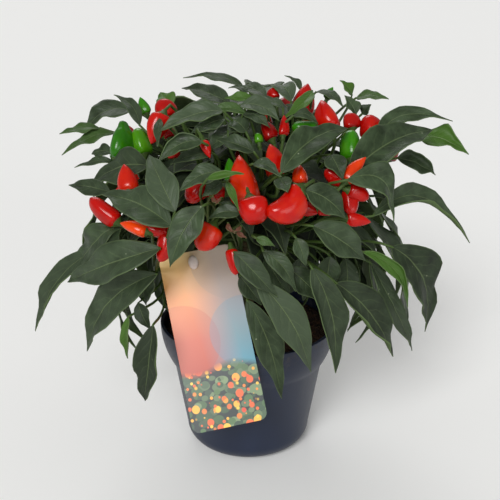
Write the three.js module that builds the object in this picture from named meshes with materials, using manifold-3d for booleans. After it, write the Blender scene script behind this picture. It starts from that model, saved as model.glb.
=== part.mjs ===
// A potted ornamental chilli pepper plant: grower pot, soil, stems with leaves, peppers and a label card.
// Millimetres, +Z up. The origin is the middle of the pot's flat base, and the viewer stands on the -Y side.
import * as THREE from "three";
import { mergeVertices } from "three/addons/utils/BufferGeometryUtils.js";
import Module from "manifold-3d";

const wasm = await Module();
wasm.setup();

// Driving dimensions
const clearance = 0.32; // free gap between pieces that touch
const pot = {
  height: 97, rimRadius: 65, rimWidth: 2.6, bendHeight: 66, bendRadius: 55.5, baseRadius: 46.6,
  cornerRadius: 14, wall: 1.8, floor: 2.4, sides: 26, drainHoles: 6, drainRadius: 3.6, drainCircle: 28,
};
const soil = { edgeHeight: 91, domeRise: 6, gap: 0.9, sides: 20, stemHole: 7.2, holeDepth: 40 };
const trunk = {
  foot: [1, 0, 58], knee: [-1.5, 1, 118], top: [0, 0, 176], footRadius: 5.4, topRadius: 3.4, sides: 7,
  forkReach: 17, forkRadius: 2.5, forkDrop: 24, lowestFork: 140, highestFork: 172,
};
const canopy = {
  middle: 165, acrossRadius: 125, depthRadius: 115, topRise: 105, skirtDrop: 230, backSkirt: 130,
};
const blade = { thickness: 0.8, stations: [0.18, 0.45, 0.76], narrow: 13, narrowStations: [0.26, 0.66] };
const tidyStep = 0.2; // faces flatter than this are merged
const stalk = {
  petioleRadius: 1.05, pedicelRadius: 1.25, neckSwell: 0.5, calyxLength: 3.2, calyxShare: 0.55, bendLength: 7,
  bendPull: 0.22, branchRadius: 2.3, branchTaper: 0.8, branchEnd: 3, firstRoot: 0.5,
};
const pepperSides = 7;
const card = { width: 51, length: 121, thickness: 0.9, corner: 5, holeRadius: 3.4, holeInset: [23, 8] };
const stake = {
  width: 6, thickness: 1.6, bottom: 72, behind: 4, neckBack: 4.6, neckFront: 2.7, neckRadius: 2.2,
  headRadius: 3.4, headLength: 9.5, shoulder: 4,
};

// The viewpoint from which places on the plant were read: where it stands and how it looks
const viewpoint = {
  distance: 600, height: 369, pitch: THREE.MathUtils.degToRad(20), focal: 880, middle: [248, 250],
};

// Leaves read from the front: stalk end, tip and width as seen, and the lift of both ends out of the skin
const seenLeaves = [
  // Left edge and lower left
  { from: [95, 250], to: [34, 333], wide: 22, lift: [-12, -4], bow: 0.06 },
  { from: [112, 226], to: [76, 269], wide: 30, lift: [2, 6] },
  { from: [160, 248], to: [66, 282], wide: 38, lift: [14, 16], bow: 0.05 },
  { from: [157, 274], to: [85, 352], wide: 36, lift: [0, 2], bow: 0.08 },
  { from: [128, 317], to: [127, 359], wide: 10, lift: [-10, -8], stem: 2 },
  { from: [153, 325], to: [144, 402], wide: 28, lift: [-10, -8], bow: -0.05 },
  { from: [138, 303], to: [150, 330], wide: 15, lift: [-20, -18], stem: 2 },
  // Upper left
  { from: [100, 128], to: [59.5, 133.4], wide: 10, lift: [-6, 0] },
  { from: [114.6, 133], to: [61.6, 154.5], wide: 11, lift: [0, 4], bow: 0.06 },
  { from: [131, 110], to: [83, 131], wide: 22, lift: [-10, -8], bow: 0.2 },
  { from: [139.5, 125], to: [114.6, 93.6], wide: 13, lift: [0, 4], bow: 0.1 },
  { from: [115, 160], to: [74, 167], wide: 8, lift: [-12, -10] },
  { from: [112, 152], to: [91, 154], wide: 14, lift: [-12, -8] },
  { from: [148, 166], to: [87, 186], wide: 34, lift: [-12, -8], bow: 0.08 },
  { from: [110, 192], to: [68, 184.5], wide: 18, lift: [4, 6] },
  { from: [171, 226], to: [101, 193], wide: 36, lift: [10, 14], bow: 0.05 },
  { from: [175, 212], to: [148, 154], wide: 30, lift: [18, 20] },
  { from: [203, 206], to: [169, 267], wide: 30, lift: [20, 22], bow: 0.05 },
  { from: [171, 106], to: [160, 92], wide: 20, lift: [-12, -10] },
  { from: [160, 120], to: [157, 146], wide: 9, lift: [12, 12] },
  // Crown, left half
  { from: [223, 111], to: [159, 131], wide: 22, lift: [12, 16], bow: 0.05 },
  { from: [230, 105], to: [182, 87], wide: 19, lift: [0, -2] },
  { from: [243, 86], to: [183, 76.6], wide: 9, lift: [-14, -14], bow: 0.05 },
  { from: [266, 98], to: [228, 87], wide: 14, lift: [4, 2], bow: 0.1 },
  { from: [254, 99], to: [224, 98], wide: 9, lift: [10, 10] },
  { from: [240, 105], to: [279.5, 121], wide: 20, lift: [10, 10], bow: -0.12 },
  { from: [225, 118], to: [190, 134], wide: 15, lift: [2, 0] },
  { from: [254, 152], to: [216, 139], wide: 16, lift: [8, 6] },
  { from: [202, 142], to: [158, 162], wide: 18, lift: [12, 16], bow: 0.14 },
  { from: [211, 152], to: [170, 163], wide: 12, lift: [-4, -2] },
  { from: [223, 172], to: [178, 193], wide: 20, lift: [16, 20], bow: 0.1 },
  { from: [207, 179], to: [244, 173], wide: 7, lift: [26, 30] },
  { from: [227, 182], to: [239, 210], wide: 8, lift: [14, 24] },
  { from: [222, 182], to: [202, 197], wide: 14, lift: [2, 2] },
  { from: [240, 128], to: [205, 150], wide: 22, lift: [-18, -16] },
  { from: [245, 140], to: [262, 166], wide: 20, lift: [-18, -12] },
  // Crown, right half
  { from: [291, 101], to: [262.4, 85.8], wide: 19, lift: [-6, -4], bow: 0.18 },
  { from: [301, 90], to: [284.5, 75], wide: 6, lift: [-12, -12], bow: 0.12 },
  { from: [312, 91], to: [281.5, 120], wide: 13, lift: [18, 20], bow: -0.08 },
  { from: [293, 116], to: [318.5, 124], wide: 10, lift: [12, 12], bow: -0.16 },
  { from: [316, 92], to: [344, 108], wide: 10, lift: [2, 2], bow: -0.08 },
  { from: [352, 95], to: [340, 80], wide: 10, lift: [-10, -8] },
  { from: [356, 114], to: [345, 95], wide: 13, lift: [-6, -4] },
  { from: [356, 98], to: [389, 98.6], wide: 11, lift: [-10, -6] },
  { from: [362, 114], to: [371, 104], wide: 11, lift: [-8, -8] },
  { from: [281, 173], to: [349, 127], wide: 30, lift: [20, 14], bow: -0.06 },
  { from: [330, 155], to: [343, 180], wide: 22, lift: [8, 12] },
  { from: [349, 176], to: [432, 127.6], wide: 38, lift: [14, 8], bow: -0.05 },
  { from: [375, 140], to: [453, 120], wide: 19, lift: [-6, 0], bow: -0.2 },
  { from: [419, 138], to: [469, 154], wide: 19, lift: [0, 0], bow: -0.08 },
  { from: [398, 158], to: [436, 174], wide: 20, lift: [-8, -6] },
  { from: [347, 180], to: [395, 221], wide: 30, lift: [16, 16], bow: -0.3 },
  { from: [374, 196], to: [401, 196], wide: 8, lift: [-4, 0] },
  { from: [373, 216], to: [471, 240], wide: 25, lift: [0, 4], bow: -0.22 },
  { from: [305, 190], to: [346.5, 218], wide: 28, lift: [14, 14], bow: -0.06 },
  { from: [313, 226], to: [366, 261], wide: 32, lift: [8, 8] },
  { from: [280, 178], to: [288, 197], wide: 18, lift: [13, 19] },
  { from: [253, 164], to: [281, 177], wide: 13, lift: [10, 16], bow: -0.1 },
  // Lower middle and lower right
  { from: [234, 252], to: [277, 298], wide: 24, lift: [8, 8] },
  { from: [256, 280], to: [310, 374], wide: 33, lift: [2, 0], bow: -0.06 },
  { from: [247, 300], to: [281, 400], wide: 28, lift: [-22, -20], bow: -0.05 },
  { from: [289, 268], to: [324, 303], wide: 24, lift: [-16, -14] },
  { from: [312, 268], to: [335, 375], wide: 32, lift: [-4, -4], bow: -0.06 },
  { from: [336, 283], to: [394, 358], wide: 38, lift: [6, 2], bow: -0.05 },
  { from: [371, 263], to: [415, 350], wide: 20, lift: [-8, -6], bow: 0.06 },
  { from: [392, 247], to: [427, 332], wide: 42, lift: [2, 0], bow: -0.1 },
  { from: [363, 252], to: [409, 308], wide: 13, lift: [16, 16], bow: -0.1 },
  { from: [296, 238], to: [306, 266], wide: 16, lift: [0, 0] },
  { from: [256, 238], to: [275, 246], wide: 9, lift: [8, 10] },
  { from: [263, 251], to: [296, 292], wide: 19, lift: [-6, -4], bow: -0.08 },
  { from: [240, 276], to: [262, 305], wide: 20, lift: [-30, -26] },
];

// Peppers read from the front: stalk end, tip and width as seen. One bunch is one red or green body.
const seenPeppers = [
  { bunch: "green_peppers_left", from: [120, 160], to: [123, 121], wide: 26, form: "blunt" },
  { bunch: "green_peppers_left", from: [144, 155], to: [137, 128], wide: 20, form: "blunt" },
  { bunch: "green_pepper_tip", from: [147, 114], to: [140, 97], wide: 12, form: "cone", lift: -4 },
  { bunch: "red_pepper_upper_left", from: [169, 119], to: [159, 100], wide: 22, form: "blunt", lift: -8 },
  { bunch: "red_pepper_upper_left_hanging", from: [163, 115], to: [151, 144], wide: 23, form: "cone", lift: 6 },
  { bunch: "red_pepper_left_upright", from: [130, 192], to: [124, 164], wide: 22, form: "cone", lift: 2 },
  { bunch: "red_pepper_left_edge", from: [118, 222], to: [90, 198], wide: 19, form: "blunt", lift: 2 },
  { bunch: "red_peppers_left_low", from: [147, 232], to: [120, 223], wide: 15, form: "cone", lift: 2 },
  { bunch: "red_peppers_left_low", from: [146, 225], to: [170, 232], wide: 17, form: "blunt" },
  { bunch: "red_peppers_left_low", from: [168, 233], to: [160, 262], wide: 18, form: "blunt" },
  { bunch: "red_pepper_middle_left", from: [213, 226], to: [199, 250], wide: 26, form: "blunt", lift: 2 },
  { bunch: "red_peppers_middle", from: [205, 186], to: [187, 201], wide: 21, form: "blunt", lift: -2 },
  { bunch: "red_peppers_middle", from: [225, 194], to: [204, 191], wide: 14, form: "blunt", lift: -2 },
  { bunch: "red_pepper_big_upright", from: [249, 205], to: [239, 155], wide: 31, form: "cone", lift: 2 },
  { bunch: "green_pepper_middle", from: [234, 184], to: [229, 158], wide: 15, form: "cone", lift: -16 },
  { bunch: "red_peppers_centre", from: [250, 199], to: [257, 224], wide: 30, form: "round", lift: 12 },
  { bunch: "red_peppers_centre", from: [300, 190], to: [268, 216], wide: 30, form: "blunt", lift: 4 },
  { bunch: "red_pepper_low_middle", from: [231, 249], to: [236, 275], wide: 13, form: "blunt", lift: -4 },
  { bunch: "red_pepper_crown_middle", from: [276, 176], to: [270, 144], wide: 22, form: "cone", lift: 4 },
  { bunch: "red_pepper_crown_small", from: [301, 184], to: [299, 164], wide: 16, form: "cone", lift: 4 },
  { bunch: "red_peppers_middle_right", from: [298, 207], to: [319, 213], wide: 16, form: "cone", lift: 0 },
  { bunch: "red_peppers_middle_right", from: [318, 209], to: [335, 212], wide: 13, form: "blunt", lift: 0 },
  { bunch: "red_peppers_right_crossed", from: [344, 184], to: [325, 170], wide: 17, form: "blunt", lift: 2 },
  { bunch: "red_peppers_right_crossed", from: [345, 182], to: [366, 157], wide: 15, form: "cone", lift: 4 },
  { bunch: "red_peppers_right", from: [350, 188], to: [351, 216], wide: 17, form: "blunt" },
  { bunch: "red_peppers_right", from: [348, 190], to: [369, 198], wide: 17, form: "blunt" },
  { bunch: "red_peppers_right", from: [346, 219], to: [371, 222], wide: 14, form: "cone" },
  { bunch: "red_peppers_crown_right", from: [370, 137], to: [369, 115], wide: 23, form: "blunt", lift: -2 },
  { bunch: "red_peppers_crown_right", from: [352, 129], to: [349, 113], wide: 18, form: "blunt", lift: -2 },
  { bunch: "red_pepper_top_right", from: [332, 130], to: [321, 100], wide: 24, form: "cone", lift: 6 },
  { bunch: "red_pepper_top", from: [299, 115], to: [308, 83.5], wide: 24, form: "cone", lift: -2 },
  { bunch: "red_pepper_top_small", from: [275, 99], to: [272, 88], wide: 13, form: "blunt", lift: -6 },
  { bunch: "red_pepper_crown_slim", from: [283, 136], to: [284, 115], wide: 11, form: "cone", lift: 0 },
  { bunch: "red_pepper_crown_shaded", from: [272, 140], to: [262, 120], wide: 16, form: "cone", lift: -8 },
  { bunch: "green_pepper_crown", from: [316, 128], to: [292, 127], wide: 17, form: "blunt", lift: -2 },
  { bunch: "green_pepper_right", from: [352, 160], to: [351, 130], wide: 21, form: "round", lift: 2 },
  { bunch: "green_pepper_top_right", from: [327, 99], to: [333, 87], wide: 9, form: "cone", lift: -8 },
  { bunch: "red_pepper_slim_left", from: [203, 141], to: [210, 158], wide: 10, form: "cone", lift: 2 },
  { bunch: "red_pepper_shaded_left", from: [178, 150], to: [168, 158], wide: 12, form: "cone", lift: -8 },
];

// The side away from the viewer: tiers of leaves, and bunches of peppers between them
const backTiers = [
  { elevation: 56, count: 4, start: 35, end: 145 },
  { elevation: 40, count: 6, start: 12, end: 168 },
  { elevation: 20, count: 9, start: -8, end: 188 },
  { elevation: 0, count: 11, start: -22, end: 202 },
  { elevation: -18, count: 11, start: -26, end: 206 },
];
const backLeaf = {
  length: 78, width: 35, sizes: [0.8, 0.38], turn: 12, swing: 34, footRise: 15, footReach: 0.86,
  tipDrop: [12, 20], tipReach: 1.1, stepOut: 0.07, sideDraw: 0.22, bow: 0.2,
};
const backBunches = [[28, 24], [72, 32], [114, 27], [140, 24], [50, 4], [95, 8], [136, 2]];
const backPepper = {
  length: 25, width: 15, apart: 14, reach: 0.99, sizes: [0.8, 0.4], widths: [0.9, 0.25],
  upward: [1.7, 0.45], splay: 0.5, sway: 0.5,
};

// How a leaf is posed: what its face turns to, then its arch, fold and twist, each with its spread
const pose = {
  outward: 0.55, towardsSight: 0.6, upward: 0.35, leastAcross: 0.65, heartDrop: 20,
  seenArch: [0.05, 0.07], backArch: [0.08, 0.06], fold: [0.12, 0.2],
  seenTwist: 0.5, backTwist: 0.4, twistFrom: 0.3,
};
const ripples = { height: 0.16, rate: 9.5, shift: 1.3 };
const turnWhole = 6.28;

// Where each leafy stem spreads its stalks, as azimuth and elevation round the canopy's middle
const stemHubs = [
  [-160, 0], [-118, 16], [-66, 14], [-20, 0], [22, 0], [68, 2], [112, 2], [158, 0],
  [-135, 48], [-80, 52], [-28, 46], [40, 50], [132, 50],
];
const hubReach = 0.5;
const steepest = { leaf: 0.9, pepper: 0.3 }; // slope along the sight for each length across it

const finish = (color, roughness) => new THREE.MeshStandardMaterial({ color, roughness, metalness: 0 });
const finishes = {
  plastic: finish("#343b4b", 0.55),
  soil: finish("#2d1c13", 0.95),
  wood: finish("#5a5a34", 0.8),
  leaf: finish("#44543f", 0.5),
  red: finish("#c81d18", 0.25),
  green: finish("#3c8a1a", 0.3),
  card: finish("#e08a4a", 0.35),
  peg: finish("#e9d9cf", 0.4),
};

const vector = (x, y, z) => new THREE.Vector3(x, y, z);
const scatter = (n) => {
  const s = Math.sin(n * 12.9898) * 43758.5453;
  return s - Math.floor(s);
};
const spread = ([least, range], n) => least + range * scatter(n);

function toSolid(geometry) {
  const bare = geometry.clone();
  bare.deleteAttribute("normal");
  bare.deleteAttribute("uv");
  const merged = mergeVertices(bare, 1e-4);
  const index = merged.index.array;
  const kept = [];
  for (let i = 0; i < index.length; i += 3) {
    const [a, b, c] = [index[i], index[i + 1], index[i + 2]];
    if (a !== b && b !== c && c !== a) kept.push(a, b, c);
  }
  const vertProperties = new Float32Array(merged.attributes.position.array);
  return new wasm.Manifold(new wasm.Mesh({ numProp: 3, vertProperties, triVerts: new Uint32Array(kept) }));
}

function toGeometry(solid) {
  const mesh = solid.getMesh();
  const geometry = new THREE.BufferGeometry();
  geometry.setAttribute("position", new THREE.BufferAttribute(mesh.vertProperties, 3));
  geometry.setIndex(new THREE.BufferAttribute(mesh.triVerts, 1));
  const flat = geometry.toNonIndexed();
  flat.computeVertexNormals();
  return flat;
}

const largestBody = (solid) => solid.decompose().reduce((a, b) => (b.volume() > a.volume() ? b : a));

// Loose scraps are dropped, and faces that lie flat against each other are merged
const tidy = (solid) => largestBody(largestBody(solid).asOriginal().simplify(tidyStep));

function boxesMeet(a, b) {
  const [p, q] = [a.boundingBox(), b.boundingBox()];
  return [0, 1, 2].every((i) => p.min[i] < q.max[i] && q.min[i] < p.max[i]);
}

const cutBy = (solid, cutters) =>
  cutters.filter((cutter) => boxesMeet(solid, cutter)).reduce((left, cutter) => left.subtract(cutter), solid);

// A closed round stalk along a few points, with its own radius at each of them
function stalkSolid(points, radii, sides) {
  const steps = points.length - 1;
  const geometry = new THREE.CylinderGeometry(1, 1, 1, sides, steps);
  const runs = points.slice(1).map((p, i) => p.clone().sub(points[i]).normalize());
  const ways = points.map((_, i) => {
    const [before, after] = [runs[Math.max(i - 1, 0)], runs[Math.min(i, steps - 1)]];
    return before.clone().add(after).normalize();
  });
  let side = vector(0.31, 0.87, 0.4);
  const frames = ways.map((way) => {
    side = side.clone().addScaledVector(way, -side.dot(way)).normalize();
    return [side, way.clone().cross(side)];
  });
  const position = geometry.attributes.position;
  for (let i = 0; i < position.count; i += 1) {
    const row = Math.round((0.5 - position.getY(i)) * steps);
    const [across, over] = frames[row];
    const p = points[row].clone()
      .addScaledVector(across, position.getX(i) * radii[row])
      .addScaledVector(over, position.getZ(i) * radii[row]);
    position.setXYZ(i, p.x, p.y, p.z);
  }
  return toSolid(geometry);
}

// The line of sight through a place, and how far along it the canopy's skin stands
function sightLine([across, down]) {
  const { distance, height, pitch, focal, middle } = viewpoint;
  const [u, v] = [(across - middle[0]) / focal, (down - middle[1]) / focal];
  const eye = vector(0, -distance, height);
  const [level, drop] = [Math.cos(pitch) - v * Math.sin(pitch), Math.sin(pitch) + v * Math.cos(pitch)];
  const ray = vector(u, level, -drop).normalize();
  const reach = (rise) => {
    const scale = vector(1 / canopy.acrossRadius, 1 / canopy.depthRadius, 1 / rise);
    const o = eye.clone().sub(vector(0, 0, canopy.middle)).multiply(scale);
    const d = ray.clone().multiply(scale);
    const [a, b, c] = [d.dot(d), o.dot(d), o.dot(o) - 1];
    return (-b - Math.sqrt(Math.max(0, b * b - a * c))) / a;
  };
  const low = reach(canopy.skirtDrop);
  const skin = eye.z + ray.z * low < canopy.middle ? low : reach(canopy.topRise);
  return { eye, ray, skin };
}

// Two ends read from the front, put on the skin and lifted out of it. Their slope along the sight is bounded.
function seenEnds(from, to, lifts, steepness, shared) {
  const [a, b] = [sightLine(from), sightLine(to)];
  const apart = (Math.hypot(from[0] - to[0], from[1] - to[1]) * 0.5 * (a.skin + b.skin)) / viewpoint.focal;
  const [near, far] = [a.skin - lifts[0], b.skin - lifts[1]];
  const slope = THREE.MathUtils.clamp(far - near, -steepness * apart, steepness * apart);
  const middle = shared ?? 0.5 * (near + far);
  const base = a.eye.addScaledVector(a.ray, middle - slope / 2);
  const tip = b.eye.addScaledVector(b.ray, middle + slope / 2);
  return { base, tip, middle };
}

// Millimetres across for one unit of the reading at a place
function readingScale(point) {
  const { distance, height, pitch, focal } = viewpoint;
  return ((point.y + distance) * Math.cos(pitch) + (height - point.z) * Math.sin(pitch)) / focal;
}

const towardsViewer = (point) => vector(0, -viewpoint.distance, viewpoint.height).sub(point).normalize();
const fromHeart = (point) => point.clone().sub(vector(0, 0, canopy.middle - pose.heartDrop)).normalize();

function skinPoint(azimuth, elevation, reach = 1) {
  const [a, e] = [THREE.MathUtils.degToRad(azimuth), THREE.MathUtils.degToRad(elevation)];
  const rise = e > 0 ? canopy.topRise : canopy.backSkirt;
  const x = canopy.acrossRadius * Math.cos(e) * Math.cos(a);
  const y = canopy.depthRadius * Math.cos(e) * Math.sin(a);
  return vector(x * reach, y * reach, canopy.middle + rise * Math.sin(e) * reach);
}

// The frame of a leaf: its chord, the way its face looks, and its size
function leafPlan(base, tip, face, shape) {
  const chord = tip.clone().sub(base);
  const length = chord.length();
  const along = chord.divideScalar(length);
  const up = face.clone().addScaledVector(along, -face.dot(along)).normalize();
  const side = up.clone().cross(along);
  return { base, length, along, up, side, ...shape };
}

function seenLeaf(row, i) {
  const { base, tip } = seenEnds(row.from, row.to, row.lift, steepest.leaf);
  const middle = base.clone().lerp(tip, 0.5);
  const sight = towardsViewer(middle);
  const face = fromHeart(middle).multiplyScalar(pose.outward).addScaledVector(sight, pose.towardsSight);
  face.z += pose.upward;
  const plan = leafPlan(base, tip, face, {
    bow: -(row.bow ?? 0), arch: spread(pose.seenArch, i + 50), fold: spread(pose.fold, i + 90),
    phase: turnWhole * scatter(i + 130), twist: pose.seenTwist * (scatter(i) - 0.5),
  });
  const acrossSight = plan.side.clone().addScaledVector(sight, -plan.side.dot(sight)).length();
  plan.width = (row.wide * readingScale(middle)) / Math.max(acrossSight, pose.leastAcross);
  if (row.stem) plan.stem = row.stem - 1;
  return plan;
}

function backLeaves() {
  const plans = [];
  backTiers.forEach(({ elevation, count, start, end }, tier) => {
    for (let i = 0; i < count; i += 1) {
      const n = 200 + tier * 20 + i;
      const middle = THREE.MathUtils.lerp(start, end, (i + 0.5) / count);
      const azimuth = middle + backLeaf.turn * (scatter(n) - 0.5);
      const step = (i % 2) * backLeaf.stepOut;
      const sideways = Math.cos(THREE.MathUtils.degToRad(azimuth)) ** 2;
      const draw = 1 - backLeaf.sideDraw * sideways; // the plant is slimmer at its sides
      const base = skinPoint(azimuth, elevation + backLeaf.footRise, draw * (backLeaf.footReach + step));
      const tipAzimuth = azimuth + backLeaf.swing * (scatter(n + 7) - 0.5);
      const tipElevation = elevation - spread(backLeaf.tipDrop, n + 21);
      const towards = skinPoint(tipAzimuth, tipElevation, draw * (backLeaf.tipReach + step));
      const length = backLeaf.length * spread(backLeaf.sizes, n + 3);
      const tip = base.clone().add(towards.sub(base).setLength(length));
      const face = fromHeart(base.clone().lerp(tip, 0.5));
      face.z += pose.upward;
      plans.push(leafPlan(base, tip, face, {
        width: backLeaf.width * spread(backLeaf.sizes, n + 5), bow: backLeaf.bow * (scatter(n + 9) - 0.5),
        arch: spread(pose.backArch, n + 11), fold: spread(pose.fold, n + 13),
        phase: turnWhole * scatter(n + 15), twist: pose.backTwist * (scatter(n + 17) - 0.5),
      }));
    }
  });
  return plans;
}

// Half width along a leaf, as a share of its widest: a rounded foot and a long drawn tip
const [footPower, tipPower] = [0.72, 1.12];
const taper = (t) => t ** footPower * (1 - t) ** tipPower;
const outline = (t) => taper(t) / taper(footPower / (footPower + tipPower));

// A point of a leaf's middle line, and of its face at the given share of the half width
function leafPoint(plan, t, share) {
  const { base, length, along, up, side, width, bow, arch, fold, phase, twist } = plan;
  const hump = Math.sin(Math.PI * t ** 0.85);
  const half = 0.5 * width * outline(t);
  const wave = ripples.height * Math.sin(ripples.rate * t + phase + (share > 0 ? ripples.shift : 0));
  const lift = half * (Math.abs(share) * (fold + wave) + share * Math.sin(twist * (t - pose.twistFrom)));
  return base.clone()
    .addScaledVector(along, length * t)
    .addScaledVector(up, arch * length * hump + lift)
    .addScaledVector(side, bow * length * hump + share * half);
}

// One ring of a leaf: left, middle and right, above and then below
function leafRing(plan, t, wide, half) {
  const above = [-1, 0, 1].map((share) => leafPoint(plan, t, share * wide).addScaledVector(plan.up, half));
  const below = [-1, 0, 1].map((share) => leafPoint(plan, t, share * wide).addScaledVector(plan.up, -half));
  return [...above, ...below];
}

// One ring of a leaf's stalk, square to the way it runs there, with its corners in the order of a leaf's ring
const stalkSection = [[-1, 0.4], [0, 0.9], [1, 0.4], [-1, -0.4], [0, -0.9], [1, -0.4]];
function stalkRing(plan, point, way, radius) {
  const side = plan.side.clone().addScaledVector(way, -plan.side.dot(way)).normalize();
  const up = way.clone().cross(side);
  return stalkSection.map(([x, z]) =>
    point.clone().addScaledVector(side, x * radius).addScaledVector(up, z * radius));
}

// A leaf on its stalk: a thin arched blade, folded and waved, split into triangles alike above and below
function leafSolid(plan, grow = 0) {
  const half = blade.thickness / 2 + grow;
  const wide = 1 + (2.4 * grow) / plan.width;
  const radius = stalk.petioleRadius + grow;
  const stations = plan.width < blade.narrow ? blade.narrowStations : blade.stations;
  const toBase = plan.base.clone().sub(plan.root).normalize();
  const bend = toBase.clone().add(plan.along).normalize();
  const rings = [
    stalkRing(plan, plan.root, toBase, radius),
    stalkRing(plan, plan.base, bend, radius),
    ...stations.map((t) => leafRing(plan, t, wide, half)),
  ];
  const tip = leafPoint(plan, 1, 0).addScaledVector(plan.along, 2 * grow);
  const tipEdge = [half, -half].map((rise) => tip.clone().addScaledVector(plan.up, rise));
  const points = [...rings.flat(), ...tipEdge];
  const ringAt = (i) => Array.from({ length: 6 }, (_, j) => 6 * i + j);
  const [fl, fm, fr, flb, fmb, frb] = ringAt(0);
  const faces = [fl, fmb, flb, fl, fm, fmb, fm, frb, fmb, fm, fr, frb];
  for (let i = 0; i < rings.length - 1; i += 1) {
    const [al, am, ar, alb, amb, arb] = ringAt(i);
    const [bl, bm, br, blb, bmb, brb] = ringAt(i + 1);
    faces.push(am, bm, br, am, br, ar, am, al, bl, am, bl, bm);
    faces.push(amb, brb, bmb, amb, arb, brb, amb, blb, alb, amb, bmb, blb);
    faces.push(ar, br, brb, ar, brb, arb, al, alb, blb, al, blb, bl);
  }
  const [bl, bm, br, blb, bmb, brb] = ringAt(rings.length - 1);
  const [over, under] = [points.length - 2, points.length - 1];
  faces.push(bm, over, br, bl, over, bm, bmb, brb, under, blb, bmb, under);
  faces.push(br, over, under, br, under, brb, bl, blb, under, bl, under, over);
  const geometry = new THREE.BufferGeometry().setFromPoints(points);
  geometry.setIndex(faces);
  return toSolid(geometry);
}

const pepperForms = {
  cone: [[0.5, 0], [0.98, 0.2], [0.9, 0.5], [0.5, 0.82]],
  blunt: [[0.55, 0], [1, 0.22], [0.96, 0.62], [0.62, 0.91]],
  round: [[0.55, 0], [0.98, 0.24], [0.98, 0.66], [0.6, 0.93]],
};

// The peppers of a bunch stand at the same distance, so that they touch
const bunchDistance = {};
function seenPepper(row) {
  const lift = row.lift ?? 0;
  const shared = bunchDistance[row.bunch];
  const { base, tip, middle } = seenEnds(row.from, row.to, [lift - 4, lift], steepest.pepper, shared);
  bunchDistance[row.bunch] = middle;
  const radius = 0.5 * row.wide * readingScale(base);
  return { bunch: row.bunch, base, tip, radius, form: row.form };
}

function backPeppers() {
  return backBunches.flatMap(([azimuth, elevation], i) => [0, 1].map((j) => {
    const leaning = (i + j) % 2;
    const base = skinPoint(azimuth, elevation, backPepper.reach);
    const sideways = vector(-base.y, base.x, 0).normalize();
    base.addScaledVector(sideways, (j - 0.5) * backPepper.apart);
    const aim = base.clone().sub(vector(0, 0, canopy.middle)).normalize();
    aim.z += backPepper.upward[leaning];
    aim.addScaledVector(sideways, (0.5 - j) * backPepper.splay + backPepper.sway * (scatter(i) - 0.5));
    const length = backPepper.length * spread(backPepper.sizes, 300 + 2 * i + j);
    const tip = base.clone().add(aim.setLength(length));
    const bunch = `red_peppers_back_${i + 1}`;
    const radius = 0.5 * backPepper.width * spread(backPepper.widths, 330 + 2 * i + j);
    return { bunch, base, tip, radius, form: leaning ? "cone" : "blunt" };
  }));
}

function pepperSolid({ base, tip, radius, form }, grow = 0) {
  const axis = tip.clone().sub(base);
  const length = axis.length();
  const rings = pepperForms[form].map(([r, t]) => [r * radius + grow, t * length]);
  rings[0][1] -= grow;
  const profile = [[0, -grow], ...rings, [0, length + 2 * grow]];
  const geometry = new THREE.LatheGeometry(profile.map(([r, h]) => new THREE.Vector2(r, h)), pepperSides);
  geometry.applyQuaternion(new THREE.Quaternion().setFromUnitVectors(vector(0, 1, 0), axis.normalize()));
  geometry.translate(base.x, base.y, base.z);
  return toSolid(geometry);
}

// Trunk, forks and leafy stems
const hubs = stemHubs.map(([azimuth, elevation]) => {
  const hub = skinPoint(azimuth, elevation, hubReach);
  const forkHeight = THREE.MathUtils.clamp(hub.z - trunk.forkDrop, trunk.lowestFork, trunk.highestFork);
  const root = vector(0, 0, forkHeight);
  const aim = hub.clone().sub(root).normalize();
  return { hub, root, aim };
});

function mainStem() {
  const { foot, knee, top, footRadius, topRadius, sides, forkReach, forkRadius } = trunk;
  const points = [foot, knee, top].map((place) => vector(...place));
  let solid = stalkSolid(points, [footRadius, (footRadius + topRadius) / 2, topRadius], sides);
  hubs.forEach(({ root, aim }) => {
    const end = root.clone().addScaledVector(aim, forkReach);
    solid = solid.add(stalkSolid([root, end], [forkRadius, forkRadius], 4));
  });
  return solid;
}

function branchSolid({ hub, root, aim }, grow = 0) {
  const start = root.clone().addScaledVector(aim, trunk.forkReach + clearance - grow);
  const end = hub.clone().addScaledVector(aim, stalk.branchEnd);
  const endRadius = stalk.branchTaper * stalk.branchRadius;
  return stalkSolid([start, end], [stalk.branchRadius + grow, endRadius + grow], 5);
}

// A pepper's stalk, which widens into the calyx that the pepper sits on
function pedicelSolid(pepper, grow = 0) {
  const axis = pepper.tip.clone().sub(pepper.base).normalize();
  const seat = pepper.base.clone().addScaledVector(axis, -clearance);
  const neck = seat.clone().addScaledVector(axis, -stalk.calyxLength);
  const bend = neck.clone().addScaledVector(axis, -stalk.bendLength).lerp(pepper.root, stalk.bendPull);
  const { pedicelRadius, neckSwell, calyxShare } = stalk;
  const radii = [pedicelRadius, pedicelRadius, pedicelRadius + neckSwell, calyxShare * pepper.radius];
  const end = seat.clone().addScaledVector(axis, grow);
  return stalkSolid([pepper.root, bend, neck, end], radii.map((r) => r + grow), 4);
}

function nearestHub(point) {
  let best = 0;
  hubs.forEach(({ hub }, i) => {
    if (hub.distanceTo(point) < hubs[best].hub.distanceTo(point)) best = i;
  });
  return best;
}

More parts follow.
